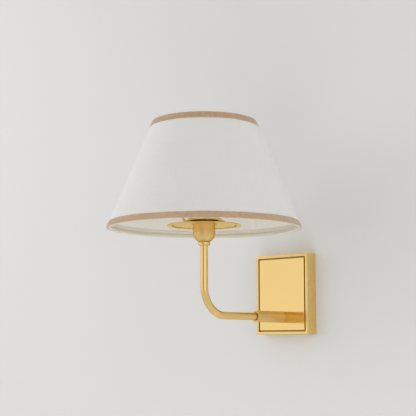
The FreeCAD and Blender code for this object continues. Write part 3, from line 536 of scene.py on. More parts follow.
# The disc is painted dark in a ring at its step: painted shade
brass_disc = metal(
    "satin_brass_disc", BRASS, 0.24, turned_on_lamp_axis, edge=BRASS_EDGE,
    painted_shade=disc_step_painted_shade, shade_colour=STEP_SHADE,
)
brass_turned = metal("satin_brass_turned", BRASS, 0.24, turned_on_lamp_axis, edge=BRASS_EDGE)
brass_small = metal("satin_brass_small", BRASS, 0.28, plain_grain(2600.0), edge=BRASS_EDGE)
zinc = metal(
    "zinc_plated_steel", STEEL, 0.38, plain_grain(700.0), depth=0.00002, wear=0.06, shift=0.08
)
nickel = metal("nickel_plating", NICKEL, 0.24, turned_on_lamp_axis)
cap_metal = metal("rolled_aluminium", ALUMINIUM, 0.32, turned_on_lamp_axis)
copper = metal("drawn_copper", COPPER, 0.30, plain_grain(1800.0), wear=0.05, shift=0.08)
solder = metal(
    "tinned_solder", SOLDER, 0.42, plain_grain(900.0), depth=0.00003, wear=0.06, shift=0.06
)


# Cloth

COVER_COLOURS = ((0.86, 0.86, 0.845, 1.0), (0.80, 0.80, 0.785, 1.0))
LINING_COLOURS = ((0.94, 0.915, 0.845, 1.0), (0.89, 0.865, 0.79, 1.0))
HEM_COLOURS = ((0.82, 0.775, 0.675, 1.0), (0.74, 0.695, 0.595, 1.0))
LOWER_RIBBON_COLOURS = ((0.68, 0.48, 0.31, 1.0), (0.54, 0.355, 0.22, 1.0))
# The upper ribbon is the same ribbon as the lower, painted a little darker: painted shade
UPPER_RIBBON_COLOURS = ((0.65, 0.44, 0.275, 1.0), (0.51, 0.32, 0.19, 1.0))
RIBBON_SHEEN = (0.97, 0.94, 0.89, 1.0)
THROUGH_REACH = 0.001
THROUGH_COLOUR = (1.0, 0.97, 0.88)
RIB_PITCH = 0.0011
CROSS_THREAD_PITCH = 0.00042
# Between these distances from the ribbon's edge, the flat selvedge turns into ribs
SELVEDGE = (0.0006, 0.0011)


def cut_place(paint):
    """Place on the cloth as it was cut, before it was put round the shade."""
    return paint.add("ShaderNodeUVMap", uv_map="weave").outputs["UV"]


def woven(name, colours, pitch, depth, sheen, slub=0.35, through=0.0):
    """Plain weave that lies as the cloth was cut: two sets of threads, each over and under.

    The colours are the light and the dark one of its slubs. Light comes through the cloth where
    through is above zero.
    """
    light, dark = colours
    low_roughness, high_roughness = 0.77, 0.91
    paint = Paint(
        name, Sheen_Weight=sheen, Sheen_Roughness=0.45, Subsurface_Weight=through,
        Subsurface_Scale=THROUGH_REACH, Subsurface_Radius=THROUGH_COLOUR,
    )
    cut = cut_place(paint)
    u, v, _ = paint.parts(cut)
    warp = paint.math("SINE", paint.math("MULTIPLY", u, math.pi / pitch))
    weft = paint.math("SINE", paint.math("MULTIPLY", v, math.pi / pitch))
    over = paint.math("MULTIPLY", warp, weft)
    warp_over = paint.spread(over, 0.25, 1.0, start=-1.0, end=1.0)
    weft_over = paint.spread(over, 1.0, 0.25, start=-1.0, end=1.0)
    warp_up = paint.math("MULTIPLY", paint.math("ABSOLUTE", warp), warp_over)
    weft_up = paint.math("MULTIPLY", paint.math("ABSOLUTE", weft), weft_over)
    thread = paint.math("MAXIMUM", warp_up, weft_up)
    slub_width, slub_length = 0.45 / pitch, 24.0
    warp_place = paint.stretched((slub_width, slub_length, 1.0), cut)
    weft_place = paint.stretched((slub_length, slub_width, 1.0), cut)
    warp_slub = paint.noise(scale=1.0, detail=2.0, roughness=0.5, vector=warp_place)
    weft_slub = paint.noise(scale=1.0, detail=2.0, roughness=0.5, vector=weft_place)
    slubs = paint.math("ADD", warp_slub, weft_slub)
    cloud = paint.noise(scale=16.0, detail=2.0, roughness=0.5, vector=cut)
    uneven = paint.spread(slubs, 0.5 - slub, 0.5 + slub, start=0.7, end=1.3)
    share = paint.math("ADD", uneven, paint.spread(cloud, -0.12, 0.12))
    ground = paint.mixed(share, dark, light)
    # Painted shade: the gaps between the threads are painted darker
    gap = paint.spread(thread, 0.55, 0.0, start=0.25, end=0.62)
    worn = paint.spread(thread, high_roughness, low_roughness, start=0.2, end=1.0)
    paint.set("Base Color", paint.mixed(gap, ground, darker(dark, 0.80)))
    paint.set("Roughness", worn)
    paint.bump(thread, depth, strength=0.8)
    paint.bump(slubs, depth * 1.5, strength=0.5)
    return paint.material


def ribbed_ribbon(name, colours, width):
    """Ribbed ribbon: fine ribs across it, a flat selvedge on both edges, and a mottled dye."""
    light, dark = colours
    paint = Paint(name, Sheen_Weight=0.55, Sheen_Roughness=0.32, Sheen_Tint=RIBBON_SHEEN)
    cut = cut_place(paint)
    u, v, _ = paint.parts(cut)
    rib_wave = paint.math("SINE", paint.math("MULTIPLY", u, math.pi / RIB_PITCH))
    cross_wave = paint.math("SINE", paint.math("MULTIPLY", v, math.pi / CROSS_THREAD_PITCH))
    rib = paint.math("ABSOLUTE", rib_wave)
    crossing = paint.math("ABSOLUTE", cross_wave)
    inner = paint.math("MINIMUM", v, paint.math("SUBTRACT", width, v))
    body = paint.spread(inner, 0.25, 1.0, *SELVEDGE)
    mottle_place = paint.stretched((150.0, 260.0, 1.0), cut)
    streak_place = paint.stretched((900.0, 60.0, 1.0), cut)
    mottle = paint.noise(scale=1.0, roughness=0.6, vector=mottle_place)
    streak = paint.noise(scale=1.0, detail=2.0, roughness=0.5, vector=streak_place)
    cloud = paint.noise(scale=22.0, detail=2.0, roughness=0.5, vector=cut)
    dye = paint.spread(mottle, 0.05, 0.95, start=0.34, end=0.66)
    share = paint.math("ADD", dye, paint.spread(streak, -0.22, 0.22))
    share = paint.math("ADD", share, paint.spread(cloud, -0.15, 0.15))
    ground = paint.mixed(share, dark, light)
    # Painted shade: the grooves between the ribs are painted darker, less so on the flat selvedge
    between_ribs = paint.spread(rib, 0.62, 0.0, start=0.10, end=0.62)
    groove = paint.math("MULTIPLY", between_ribs, body)
    paint.set("Base Color", paint.mixed(groove, ground, darker(dark, 0.66)))
    paint.set("Roughness", paint.spread(rib, 0.82, 0.66, start=0.1, end=1.0))
    paint.bump(paint.math("MULTIPLY", rib, body), 0.00022, strength=0.9)
    paint.bump(crossing, 0.00004, strength=0.7)
    return paint.material


cover_cloth = woven(
    "cover_cloth", COVER_COLOURS, pitch=0.00055, depth=0.00006, sheen=0.12, through=0.8
)
lining_cloth = woven(
    "lining_cloth", LINING_COLOURS, pitch=0.00040, depth=0.00003, sheen=0.05, slub=0.25,
    through=0.8,
)
hem_cloth = woven("hem_cloth", HEM_COLOURS, pitch=0.00060, depth=0.00008, sheen=0.12, slub=0.40)


# Paint, plastic and glass

GREEN_ENAMEL = (0.05, 0.22, 0.09)
BARE_STEEL = (0.55, 0.56, 0.56)
WHITE_ENAMEL = (0.80, 0.79, 0.74)
WHITE_UNDERCOAT = (0.640, 0.632, 0.592)
BROWN_BLACK = (0.050, 0.036, 0.026)
BLACK_GLASS = (0.020, 0.020, 0.024)
CAP_ORANGE = (0.62, 0.20, 0.035)
BLACK_SLEEVING = (0.028, 0.028, 0.030)
WHITE_SLEEVING = (0.80, 0.80, 0.78)
OPAL_DARK = (0.90, 0.89, 0.86, 1.0)
OPAL_LIGHT = (0.95, 0.94, 0.92, 1.0)


def enamel(name, colour, roughness, under):
    """Painted wire or screw: an even coat with a faint orange peel, chipped to what is under."""
    paint = Paint(name, Coat_Weight=0.25, Coat_Roughness=0.18)
    cloud = paint.noise(scale=60.0)
    speck = paint.noise(scale=900.0, detail=2.0)
    ground = paint.mixed(paint.spread(cloud, 0.0, 1.0), tone(*colour, 0.95), tone(*colour, 1.03))
    chip_place = paint.noise(scale=420.0, detail=4.0, roughness=0.7)
    chip = paint.spread(chip_place, 0.0, 0.8, start=0.70, end=0.74)
    paint.set("Base Color", paint.mixed(chip, ground, tone(*under)))
    paint.set("Roughness", paint.spread(cloud, roughness - 0.05, roughness + 0.07))
    paint.bump(speck, 0.00003, strength=0.35)
    return paint.material


def moulded(name, colour, roughness, depth=0.00002, shift=0.06):
    """Moulded plastic or insulation: an even colour with flow marks and a fine surface."""
    paint = Paint(name)
    flow = paint.noise(scale=1.0, roughness=0.6, vector=paint.stretched((90.0, 90.0, 25.0)))
    fine = paint.noise(scale=2600.0, detail=2.0)
    dull, bright = tone(*colour, 1.0 - shift), tone(*colour, 1.0 + shift)
    paint.set("Base Color", paint.mixed(paint.spread(flow, 0.0, 1.0), dull, bright))
    paint.set("Roughness", paint.spread(flow, roughness - 0.05, roughness + 0.06))
    paint.bump(fine, depth, strength=0.4)
    return paint.material


def frosted_glass(name):
    paint = Paint(name, IOR=1.5, Transmission_Weight=0.18, Coat_Weight=0.1, Coat_Roughness=0.25)
    cloud = paint.noise(scale=30.0)
    grain = paint.noise(scale=3200.0, detail=2.0)
    paint.set("Base Color", paint.mixed(paint.spread(cloud, 0.0, 1.0), OPAL_DARK, OPAL_LIGHT))
    paint.set("Roughness", paint.spread(cloud, 0.42, 0.52))
    paint.bump(grain, 0.00001, strength=0.4)
    return paint.material


green_enamel = enamel("green_enamel", GREEN_ENAMEL, 0.34, BARE_STEEL)
white_enamel = enamel("white_enamel", WHITE_ENAMEL, 0.36, WHITE_UNDERCOAT)
phenolic = moulded("black_phenolic", BROWN_BLACK, 0.28, depth=0.00003, shift=0.25)
vitrite = moulded("black_glass", BLACK_GLASS, 0.16, depth=0.00001, shift=0.2)
cap_plastic = moulded("wire_cap_plastic", CAP_ORANGE, 0.46, depth=0.00004)
black_insulation = moulded("black_insulation", BLACK_SLEEVING, 0.38)
white_insulation = moulded("white_insulation", WHITE_SLEEVING, 0.40)
opal = frosted_glass("frosted_glass")

NODE_MATERIALS = {
    "mounting_bracket": zinc,
    "backplate": brass_plate,
    "inset_panel": brass_polished,
    "plate_screws": brass_small,
    "ground_screw": green_enamel,
    "arm_sleeve": brass_sleeve,
    "sleeve_set_screw": brass_small,
    "sleeve_nipple": zinc,
    "sleeve_washer": zinc,
    "sleeve_locknut": zinc,
    "arm_tube": brass_tube,
    "arm_collar": brass_collar,
    "socket_cup": brass_cup,
    "cup_nipple": zinc,
    "cup_locknut": zinc,
    "glare_disc": brass_disc,
    "disc_washer": brass_turned,
    "socket_base": phenolic,
    "socket_body": phenolic,
    "socket_shell": nickel,
    "socket_contact": nickel,
    "terminal_screws": brass_small,
    "retaining_ring": brass_turned,
    "fitter_ring": brass_turned,
    "bottom_wire_ring": white_enamel,
    "top_wire_ring": white_enamel,
    "shade_arm_1": white_enamel,
    "shade_arm_2": white_enamel,
    "shade_arm_3": white_enamel,
    "lamp_contact": solder,
    "lamp_insulator": vitrite,
    "lamp_cap": cap_metal,
    "lamp_glass": opal,
    "wire_connectors": cap_plastic,
    "wire_hot": black_insulation,
    "wire_neutral": white_insulation,
    "wire_ground": copper,
}
for node_name, material in NODE_MATERIALS.items():
    NODES[node_name].material_slots[0].material = material


# The shade's fabric and lining

SKIN_ROWS = 41
SURFACE_INSET = 0.00003
LAYER_GAP = 0.00005
SEAM_WIDTH = 0.008
SEAM_FADE = 0.007
SEAM_END = 0.004
EVEN_COLUMNS = 288
# More columns near a seam or a join, in radians from it
JOIN_COLUMNS = np.array([-0.004, -0.0008, 0.0, 0.0004, 0.0009, 0.0016, 0.003, 0.008])


def shade_angles(start):
    """Angles once round, from the start on, with more of them where a seam or join starts."""
    even = np.linspace(0.0, FULL_TURN, EVEN_COLUMNS, endpoint=False)
    onward = np.mod(np.append(even - start, JOIN_COLUMNS), FULL_TURN)
    return start + np.unique(np.round(onward, 7))


def flat_cut(angles, heights):
    """Place on the flat cloth, which was cut as a sector with its straight grain at the front."""
    turn = (np.append(angles, angles[0] + FULL_TURN) - SEAM_ANGLE - math.pi) * CONE_SINE
    radius = (BOTTOM_RADIUS / CONE_SINE) - heights * LEAN
    return np.stack([np.outer(np.sin(turn), radius), -np.outer(np.cos(turn), radius)], axis=2)


def cone_skin(name, outer_inset, inner_inset, seam_rise, seam_side, material, node_name):
    """Closed cone shell of cloth between the rims, with a glued seam at the back.

    The seam shows on the outer surface where its side is 1, and on the inner one where it is -1.
    """
    rows = np.linspace(0.0, SHADE_HEIGHT, SKIN_ROWS)
    heights = np.concatenate([rows, rows[::-1]])
    outer, inner = np.full(SKIN_ROWS, outer_inset), np.full(SKIN_ROWS, inner_inset)
    inset = np.concatenate([outer, inner])
    seam = seam_side * (inset == (outer_inset if seam_side > 0 else inner_inset))
    fade = smooth_step(0.0, SEAM_END, heights) * smooth_step(0.0, SEAM_END, SHADE_HEIGHT - heights)
    angles = shade_angles(SEAM_ANGLE)
    sections = np.empty((len(angles), len(heights), 2))
    for index, angle in enumerate(angles):
        radius = cone_radius(heights)
        lift = overlap(angle, radius, SEAM_ANGLE, seam_rise, SEAM_WIDTH, SEAM_FADE) * fade * seam
        sections[index, :, 0] = radius - inset + ripple(angle, heights) + lift
        sections[index, :, 1] = SHADE_BOTTOM + heights
    mesh = turned_mesh(name, sections, angles, flat_cut(angles, heights))
    return piece(name, [mesh], material, "shade", node_name)


cover = cone_skin(
    "fabric_cover", SURFACE_INSET, FABRIC_THICKNESS - LAYER_GAP, 0.00045, 1,
    cover_cloth, "shade_fabric",
)
inner_skin = cone_skin(
    "lining_skin", FABRIC_THICKNESS + LAYER_GAP, SKIN_THICKNESS - SURFACE_INSET, 0.0003, -1,
    lining_cloth, "shade_lining",
)


# The shade's ribbons and tapes

# How far out from the rim and how far past it the ribbon's turned edge goes
RIBBON_UNDER = (
    (0.0003 - SKIN_THICKNESS, 0.00050),
    (-0.0008, 0.00054),
    (0.0, 0.00052),
    (0.00042, 0.00028),
)
# How far from the rim, along the shade's axis, and how far out the ribbon swells there
RIBBON_SWELL = (
    (0.0006, 0.00008),
    (0.0020, 0.00012),
    (0.0040, 0.00010),
    (0.0062, 0.00004),
    (0.0078, 0.0),
    (TRIM_HEIGHT - 0.0004, -0.00008),
)
RIBBON_BEAD = 0.00006
# Between these distances from the rim, the cloth gets free to wander
RIBBON_FREE = (0.001, 0.009)
TAPE_FREE = (0.004, 0.011)
RIBBON_WANDER = ((0.00016, 7, 0.4), (0.00011, 17, 2.0))
RIBBON_PUFF = (0.00006, 23, 1.0)
JOIN_RISE = 0.00035
JOIN_LENGTH = 0.010
JOIN_FADE = 0.0015
TAPE_BEAD = 0.00003
TAPE_LANDING = 0.0062
TAPE_CLEARANCE = 0.00004
TAPE_STEP_ANGLE = 0.022
TAPE_WANDER = ((0.00022, 11, 0.9), (0.00015, 29, 0.0))
TAPE_PUCKER = ((0.00007, 61, 0.0), (0.00005, 97, 1.3))
ARM_SLIT = math.radians(1.5)
ARM_SPACING = math.radians(120)
PATH_STEPS = 3
CLOTH_SHARP = 60


def band_lay(angles, place, radius):
    """Place on a flat ribbon: along its length, and across it."""
    whole = np.append(angles, angles[0] + FULL_TURN)
    along = np.repeat((whole * radius)[:, None], len(place), axis=1)
    return np.stack([along, np.repeat(place[None, :], len(whole), axis=0)], axis=2)


def rim_ribbon(name, rim, side, join, colours, node_name):
    """Ribbon folded over a rim. The side is 1 at the lower rim and -1 at the upper."""
    rim_radius = cone_radius(rim)
    under = [(rim_radius + out, rim - past_rim * side) for out, past_rim in RIBBON_UNDER]
    up = [
        (cone_radius(rim + height * side) + TRIM_THICKNESS / 2 + swell, rim + height * side)
        for height, swell in RIBBON_SWELL
    ]
    path = smooth_path(under + up, PATH_STEPS)
    outline, place = band(path, RIBBON_THICKNESS, RIBBON_BEAD)
    angles = shade_angles(join)
    sections = np.empty((len(angles), len(outline), 2))
    free = smooth_step(*RIBBON_FREE, (outline[:, 1] - rim) * side)
    for index, angle in enumerate(angles):
        lift = overlap(angle, rim_radius, join, JOIN_RISE, JOIN_LENGTH, JOIN_FADE)
        lift = (lift + waves(angle, RIBBON_PUFF)) * free
        wander = waves(angle, *RIBBON_WANDER) * free * side
        sections[index, :, 0] = outline[:, 0] + ripple(angle, outline[:, 1]) + lift
        sections[index, :, 1] = SHADE_BOTTOM + outline[:, 1] + wander
    lay = band_lay(angles, place, rim_radius)
    width = float(place.max())
    mesh = turned_mesh(name, sections, angles, lay, sharp=CLOTH_SHARP)
    ribbon_cloth = ribbed_ribbon(name, colours, width)
    ribbon = piece(name, [mesh], ribbon_cloth, "shade", node_name)


def hem_tape(name, rim, side, spans, node_name):
    """Tape round the frame wire and on to the lining, in one or more lengths."""
    gap = WIRE_DIAMETER / 2 + WIRE_GAP
    wire_height = rim + gap * side
    wire_radius = cone_radius(wire_height) - SKIN_THICKNESS - gap * LEAN
    inner = wire_radius - WIRE_DIAMETER / 2 - WIRE_GAP - TAPE_THICKNESS / 2
    start = cone_radius(rim) - SKIN_THICKNESS - 0.0003
    leaving = wire_height + 0.0014 * side
    landing = rim + TAPE_LANDING * side
    end = rim + (TAPE_HEIGHT - 0.0003) * side
    middle = 0.5 * (landing + end)

    def on_lining(height):
        return cone_radius(height) - SKIN_THICKNESS - TAPE_THICKNESS / 2 - TAPE_CLEARANCE

    points = [
        (start, rim - 0.00070 * side),
        (0.6 * wire_radius + 0.4 * start, rim - 0.00072 * side),
        (wire_radius - 0.0004, rim - 0.00056 * side),
        (inner + 0.00042, rim - 0.00006 * side),
        (inner + 0.00002, rim + 0.0011 * side),
        (inner - 0.00004, wire_height + 0.0004 * side),
        (inner + 0.00010, leaving),
        (0.55 * inner + 0.45 * on_lining(landing), 0.5 * (leaving + landing)),
        (on_lining(landing), landing),
        (on_lining(middle), middle),
        (on_lining(end), end),
    ]
    outline, place = band(smooth_path(points, PATH_STEPS), TAPE_THICKNESS, TAPE_BEAD)
    free = smooth_step(*TAPE_FREE, (outline[:, 1] - rim) * side)
    strips = []
    for first, last in spans:
        closed = math.isclose(last - first, FULL_TURN)
        count = int((last - first) / TAPE_STEP_ANGLE)
        angles = np.linspace(first, last, count, endpoint=not closed)
        sections = np.empty((len(angles), len(outline), 2))
        for index, angle in enumerate(angles):
            pucker = abs(waves(angle, *TAPE_PUCKER)) * (1 - free)
            wander = waves(angle, *TAPE_WANDER) * free * side
            sections[index, :, 0] = outline[:, 0] + ripple(angle, outline[:, 1]) - pucker
            sections[index, :, 1] = SHADE_BOTTOM + outline[:, 1] + wander
        lay = band_lay(angles, place, wire_radius)
        strips.append(turned_mesh(name, sections, angles, lay, closed, sharp=CLOTH_SHARP))
    tape = piece(name, strips, hem_cloth, "shade", node_name)


rim_ribbon("ribbon_lower", 0.0, 1, LOWER_JOIN_ANGLE, LOWER_RIBBON_COLOURS, "bottom_trim")
rim_ribbon("ribbon_upper", SHADE_HEIGHT, -1, UPPER_JOIN_ANGLE, UPPER_RIBBON_COLOURS, "top_trim")
hem_tape("tape_lower", 0.0, 1, [(0.0, FULL_TURN)], "bottom_hem_tape")
between_arms = [(start + ARM_SLIT, start + ARM_SPACING - ARM_SLIT) for start in ARM_ANGLES]
hem_tape("tape_upper", SHADE_HEIGHT, -1, between_arms, "top_hem_tape")


# Threaded parts

BARREL_ROW = 0.00030
SHELL_ROW = 0.00036
SAME_RADIUS = 0.00001


def thread_profile(turns, depth, crest):
    """Depth of a rounded thread: crest is the share of the pitch that stays proud."""
    share = np.mod(turns, 1.0)
    valley = np.clip(1.0 - np.abs(share - 0.5) / (0.5 * (1.0 - crest)), 0.0, 1.0)
    return depth * np.sin(0.5 * np.pi * valley)


def straight_wall(radius, bottom, top, step):
    """Points up or down a straight wall, close enough together for a thread."""
    count = int(abs(top - bottom) / step) + 1
    return [(radius, height) for height in np.linspace(bottom, top, count)]


def threaded(name, outline, pitch, threads, columns=96):
    """Turned part with threads cut in it. Each thread is (radius, bottom, top, depth, crest)."""
    outline = np.array(outline, float)
    radii, heights = outline.T
    angles = np.linspace(0.0, FULL_TURN, columns, endpoint=False)
    sections = np.repeat(outline[None, :, :], columns, axis=0)
    for index, angle in enumerate(angles):
        for radius, bottom, top, depth, crest in threads:
            on_wall = np.abs(radii - radius) <= SAME_RADIUS
            run_in = smooth_step(0.0, pitch, heights - bottom)
            run_out = smooth_step(0.0, pitch, top - heights)
            cut = thread_profile(heights / pitch - angle / FULL_TURN, depth, crest)
            sections[index, :, 0] -= cut * run_in * run_out * on_wall
    return turned_mesh(name, sections, angles, sharp=50)


def lamp_holder_body():
    """Upper half of the lamp holder: a neck, a shoulder, and a barrel with an outside thread."""
    edge = 0.0006
    shoulder = HOLDER_BOTTOM + NECK_HEIGHT
    step = shoulder + SHOULDER_HEIGHT
    top = step + BARREL_HEIGHT
    floor = HOLDER_BOTTOM + HOLDER_FLOOR_HEIGHT
    outline = [
        (HOLDER_EYE_RADIUS, HOLDER_BOTTOM),
        (NECK_RADIUS, HOLDER_BOTTOM),
        (NECK_RADIUS, shoulder),
        (SHOULDER_RADIUS - edge, shoulder),
        (SHOULDER_RADIUS, shoulder + edge),
        (SHOULDER_RADIUS, step - edge),
        (SHOULDER_RADIUS - edge, step),
        (BARREL_RADIUS, step),
        *straight_wall(BARREL_RADIUS, step + 0.0003, top - 0.0010, BARREL_ROW),
        (BARREL_RADIUS - 0.0003, top - 0.0003),
        (BARREL_RADIUS - 0.0010, top),
        (HOLDER_BORE_RADIUS + 0.0004, top),
        (HOLDER_BORE_RADIUS, top - 0.0004),
        (HOLDER_BORE_RADIUS, floor),
        (HOLDER_EYE_RADIUS, floor),
    ]
    low, high = step + 0.001, top - 0.0002
    thread = (BARREL_RADIUS, low, high, BARREL_THREAD_DEPTH, BARREL_THREAD_CREST)
    mesh = threaded("lamp_holder_body", outline, BARREL_THREAD_PITCH, [thread], columns=128)
    piece("lamp_holder_body", [mesh], phenolic, "fixture", "socket_body")


def lamp_holder_shell():
    """Screw shell: thin rolled metal, with the lamp's thread inside and out."""
    bottom = HOLDER_BOTTOM + HOLDER_FLOOR_HEIGHT
    top = bottom + SHELL_HEIGHT
    outline = [
        (0.0118, bottom + 0.0001),
        (0.0143, bottom + 0.0001),
        *straight_wall(SHELL_OUTER_RADIUS, bottom + 0.0006, top, SHELL_ROW),
        *straight_wall(SHELL_INNER_RADIUS, top, bottom + 0.0015, SHELL_ROW),
        (0.0134, bottom + 0.0009),
        (0.0118, bottom + 0.0009),
    ]
    threads = [
        (radius, bottom + 0.002, top, SHELL_THREAD_DEPTH, LAMP_THREAD_CREST)
        for radius in (SHELL_OUTER_RADIUS, SHELL_INNER_RADIUS)
    ]
    mesh = threaded("lamp_holder_shell", outline, LAMP_THREAD_PITCH, threads)
    piece("lamp_holder_shell", [mesh], nickel, "fixture", "socket_shell")


def lamp_screw_cap():
    """The lamp's cap: thin rolled metal with a thread, closed below by a flat ring."""
    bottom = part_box("lamp_cap")[0].z
    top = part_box("lamp_cap")[1].z
    inner_radius = LAMP_CAP_RADIUS - LAMP_CAP_WALL
    outline = [
        (0.0, bottom + 0.00002),
        (0.0120, bottom + 0.00002),
        (0.01255, bottom + 0.0005),
        *straight_wall(LAMP_CAP_RADIUS, bottom + 0.0012, top, SHELL_ROW),
        *straight_wall(inner_radius, top, bottom + 0.0018, SHELL_ROW),
        (0.0118, bottom + 0.0010),
        (0.0, bottom + 0.0010),
    ]
    threads = [
        (radius, bottom + 0.001, top - 0.002, LAMP_THREAD_DEPTH, LAMP_THREAD_CREST)
        for radius in (LAMP_CAP_RADIUS, inner_radius)
    ]
    mesh = threaded("lamp_screw_cap", outline, LAMP_THREAD_PITCH, threads)
    piece("lamp_screw_cap", [mesh], cap_metal, "lamp", "lamp_cap")


lamp_holder_body()
lamp_holder_shell()
lamp_screw_cap()


# Wire caps

CAP_Y = -0.0096
CAP_X = 0.0125
CAP_OUTSIDE = (
    (0.0052, 0.0),
    (0.0055, 0.0003),
    (0.0055, 0.0012),
    (0.0053, 0.0018),
    (0.00505, 0.0026),
    (0.0049, 0.005),
    (0.0046, 0.009),
    (0.0043, 0.013),
    (0.0040, 0.017),
    (0.0037, 0.0200),
    (0.0031, 0.0213),
    (0.0022, 0.0219),
    (0.0, 0.0220),
)
CAP_INSIDE = ((0.0, 0.0140), (0.0013, 0.0140), (0.0016, 0.0030), (0.0024, 0.0006), (0.0046, 0.0))
CAP_RIBS = 12
CAP_RIB_DEPTH = 0.00035
CAP_COLUMNS = 72
# Each cap's x, the height of its mouth, and 1 where its tip is above the mouth or -1 below
CAP_PLACES = ((CAP_X, 0.0020, 1), (-CAP_X, 0.0020, 1), (0.0, 0.0240, -1))


def wire_cap(x, mouth, side):
    """Ribbed wire cap. The mouth is the height of its open end."""
    outline = np.array(CAP_OUTSIDE + CAP_INSIDE)
    angles = np.linspace(0.0, FULL_TURN, CAP_COLUMNS, endpoint=False)
    sections = np.repeat(outline[None, :, :], len(angles), axis=0)
    rib_start = smooth_step(0.0024, 0.0040, outline[:, 1])
    rib_end = 1 - smooth_step(0.0190, 0.0208, outline[:, 1])
    outside = np.arange(len(outline)) < len(CAP_OUTSIDE)
    ribbed = rib_start * rib_end * outside
    for index, angle in enumerate(angles):
        sections[index, :, 0] -= CAP_RIB_DEPTH * (0.5 - 0.5 * math.cos(CAP_RIBS * angle)) * ribbed
    sections[..., 1] = mouth + side * sections[..., 1]
    return turned_mesh("wire_caps", sections, angles, centre=(x, CAP_Y))


caps = [wire_cap(*place) for place in CAP_PLACES]
piece("wire_caps", caps, cap_plastic, "fixture", "wire_connectors")


# Camera

CAMERA_PLACE = (1.2646, -1.5044, -0.0881)
CAMERA_UPWARD = 7.275
CAMERA_TURN = 44.46
FOCAL_LENGTH_MM = 91.45

camera_data = bpy.data.cameras.new("camera")
camera_data.sensor_width = 36.0
camera_data.lens = FOCAL_LENGTH_MM
camera_data.clip_end = 100.0
camera = placed("camera", camera_data)
camera.location = CAMERA_PLACE
camera.rotation_euler = (math.radians(90 + CAMERA_UPWARD), 0.0, math.radians(CAMERA_TURN))
bpy.context.scene.camera = camera


# Wall and floor

WALL_COLOUR = (0.78, 0.78, 0.785)
FLOOR_COLOUR = (0.86, 0.86, 0.84)
FLOOR_Z = -2.2
WALL_Y = 0.0004
FAR = 14.0
# The wall is open behind the backplate, where the wall box is
BOX_HOLE_X = 0.056
BOX_HOLE_Z = 0.068


def rectangle(x, low, high):
    """Corners of a rectangle on the wall, as wide to the left as to the right."""
    return [(-x, WALL_Y, low), (x, WALL_Y, low), (x, WALL_Y, high), (-x, WALL_Y, high)]


def plane(name, corners, faces, material):
    mesh = bpy.data.meshes.new(name)
    mesh.from_pydata(corners, [], faces)
    mesh.update()
    mesh.materials.append(material)
    placed(name, mesh)


def plaster(name, colour):
    """Matt painted wall or floor."""
    paint = Paint(name, Specular_IOR_Level=0.15)
    cloud = paint.noise(scale=1.1, detail=2.0)
    fine = paint.noise(scale=240.0)
    dull, bright = tone(*colour, 0.992), tone(*colour, 1.008)
    paint.set("Base Color", paint.mixed(paint.spread(cloud, 0.0, 1.0), dull, bright))
    paint.set("Roughness", paint.spread(fine, 0.86, 0.94))
    paint.bump(fine, 0.00006, strength=0.25)
    return paint


def one_sided(paint):
    """Makes a surface clear where it is seen from behind."""
    geometry = paint.add("ShaderNodeNewGeometry")
    clear = paint.add("ShaderNodeBsdfTransparent")
    inputs = {0: geometry.outputs["Backfacing"], 1: paint.shader.outputs[0], 2: clear.outputs[0]}
    choice = paint.add("ShaderNodeMixShader", inputs)
    paint.tree.links.new(choice.outputs[0], paint.tree.nodes["Material Output"].inputs["Surface"])


wall_paint = plaster("wall_paint", WALL_COLOUR)
one_sided(wall_paint)
wall_corners = rectangle(FAR, FLOOR_Z, FAR) + rectangle(BOX_HOLE_X, -BOX_HOLE_Z, BOX_HOLE_Z)
faces_beside_hole = [(0, 1, 5, 4), (1, 2, 6, 5), (2, 3, 7, 6), (3, 0, 4, 7)]
plane("wall", wall_corners, faces_beside_hole, wall_paint.material)
floor_corners = [(x, y, FLOOR_Z) for x, y in ((-FAR, -FAR), (FAR, -FAR), (FAR, FAR), (-FAR, FAR))]
plane("floor", floor_corners, [(0, 1, 2, 3)], plaster("floor_paint", FLOOR_COLOUR).material)


# Light

SOFTBOX_TARGET = Vector((0.0, -0.2, 0.1))


def softbox(name, azimuth, elevation, distance, size, watts):
    """Square light aimed at the part. Azimuth 0 is straight out from the wall, + to the right."""
    a, e = math.radians(azimuth), math.radians(elevation)
    away = Vector((math.sin(a) * math.cos(e), -math.cos(a) * math.cos(e), math.sin(e)))
    data = bpy.data.lights.new(name, "AREA")
    data.shape = "SQUARE"
    data.size = size
    data.energy = watts
    light = placed(name, data)
    light.location = SOFTBOX_TARGET + away * distance
    light.rotation_euler = away.to_track_quat("Z", "Y").to_euler()
    light.visible_glossy = False


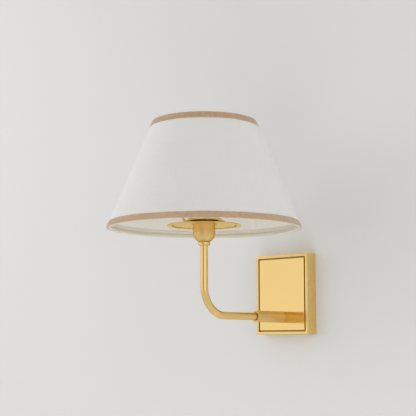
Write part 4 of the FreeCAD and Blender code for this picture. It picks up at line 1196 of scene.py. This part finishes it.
softbox("left_softbox", azimuth=-60.0, elevation=12.0, distance=2.0, size=1.3, watts=6.9)
softbox("right_softbox", azimuth=86.0, elevation=6.0, distance=2.3, size=1.4, watts=4.2)
softbox("low_softbox", azimuth=66.0, elevation=-66.0, distance=1.7, size=1.6, watts=10.5)

ROOM_COLOUR = (1.0, 0.99, 0.965, 1.0)
ROOM_LEVEL = 0.42
ROOM_SEEN_LEVEL = 0.72
CEILING = (0.55, 0.95)


def studio_world():
    """A pale room: brighter on the left and on the right, with a dimmer gap between them."""
    world = bpy.data.worlds.new("studio")
    bpy.context.scene.world = world
    world.use_nodes = True
    room = Nodes(world.node_tree)
    x, y, z = room.parts(room.add("ShaderNodeTexCoord").outputs["Generated"])
    azimuth = room.math("ARCTAN2", x, room.math("MULTIPLY", y, -1.0))

    def eased(value, low, high, start, end):
        return room.spread(value, low, high, start, end, interpolation_type="SMOOTHSTEP")

    def lobe(first, last, soft, level):
        """Light between two azimuths, in degrees."""
        rise_from, rise_to = math.radians(first - soft), math.radians(first + soft)
        fall_from, fall_to = math.radians(last - soft), math.radians(last + soft)
        rise = eased(azimuth, 0.0, level, rise_from, rise_to)
        fall = eased(azimuth, 1.0, 0.0, fall_from, fall_to)
        return room.math("MULTIPLY", rise, fall)

    left = lobe(-92.0, -4.0, soft=12.0, level=0.50)
    right = lobe(42.0, 92.0, soft=11.0, level=0.58)
    sides = room.math("ADD", room.math("ADD", left, right), ROOM_LEVEL)
    ceiling = eased(z, 0.0, 1.0, *CEILING)
    lower = room.math("MULTIPLY", sides, room.math("SUBTRACT", 1.0, ceiling))
    whole = room.math("ADD", lower, ceiling)
    seen = room.add("ShaderNodeLightPath").outputs["Is Camera Ray"]
    inputs = {"Factor": seen, "A": whole, "B": ROOM_SEEN_LEVEL}
    strength = room.add("ShaderNodeMix", inputs, data_type="FLOAT").outputs["Result"]
    background = room.tree.nodes["Background"]
    room.feed(background.inputs["Strength"], strength)
    room.feed(background.inputs["Color"], ROOM_COLOUR)


studio_world()
bpy.context.scene.view_settings.view_transform = "Standard"
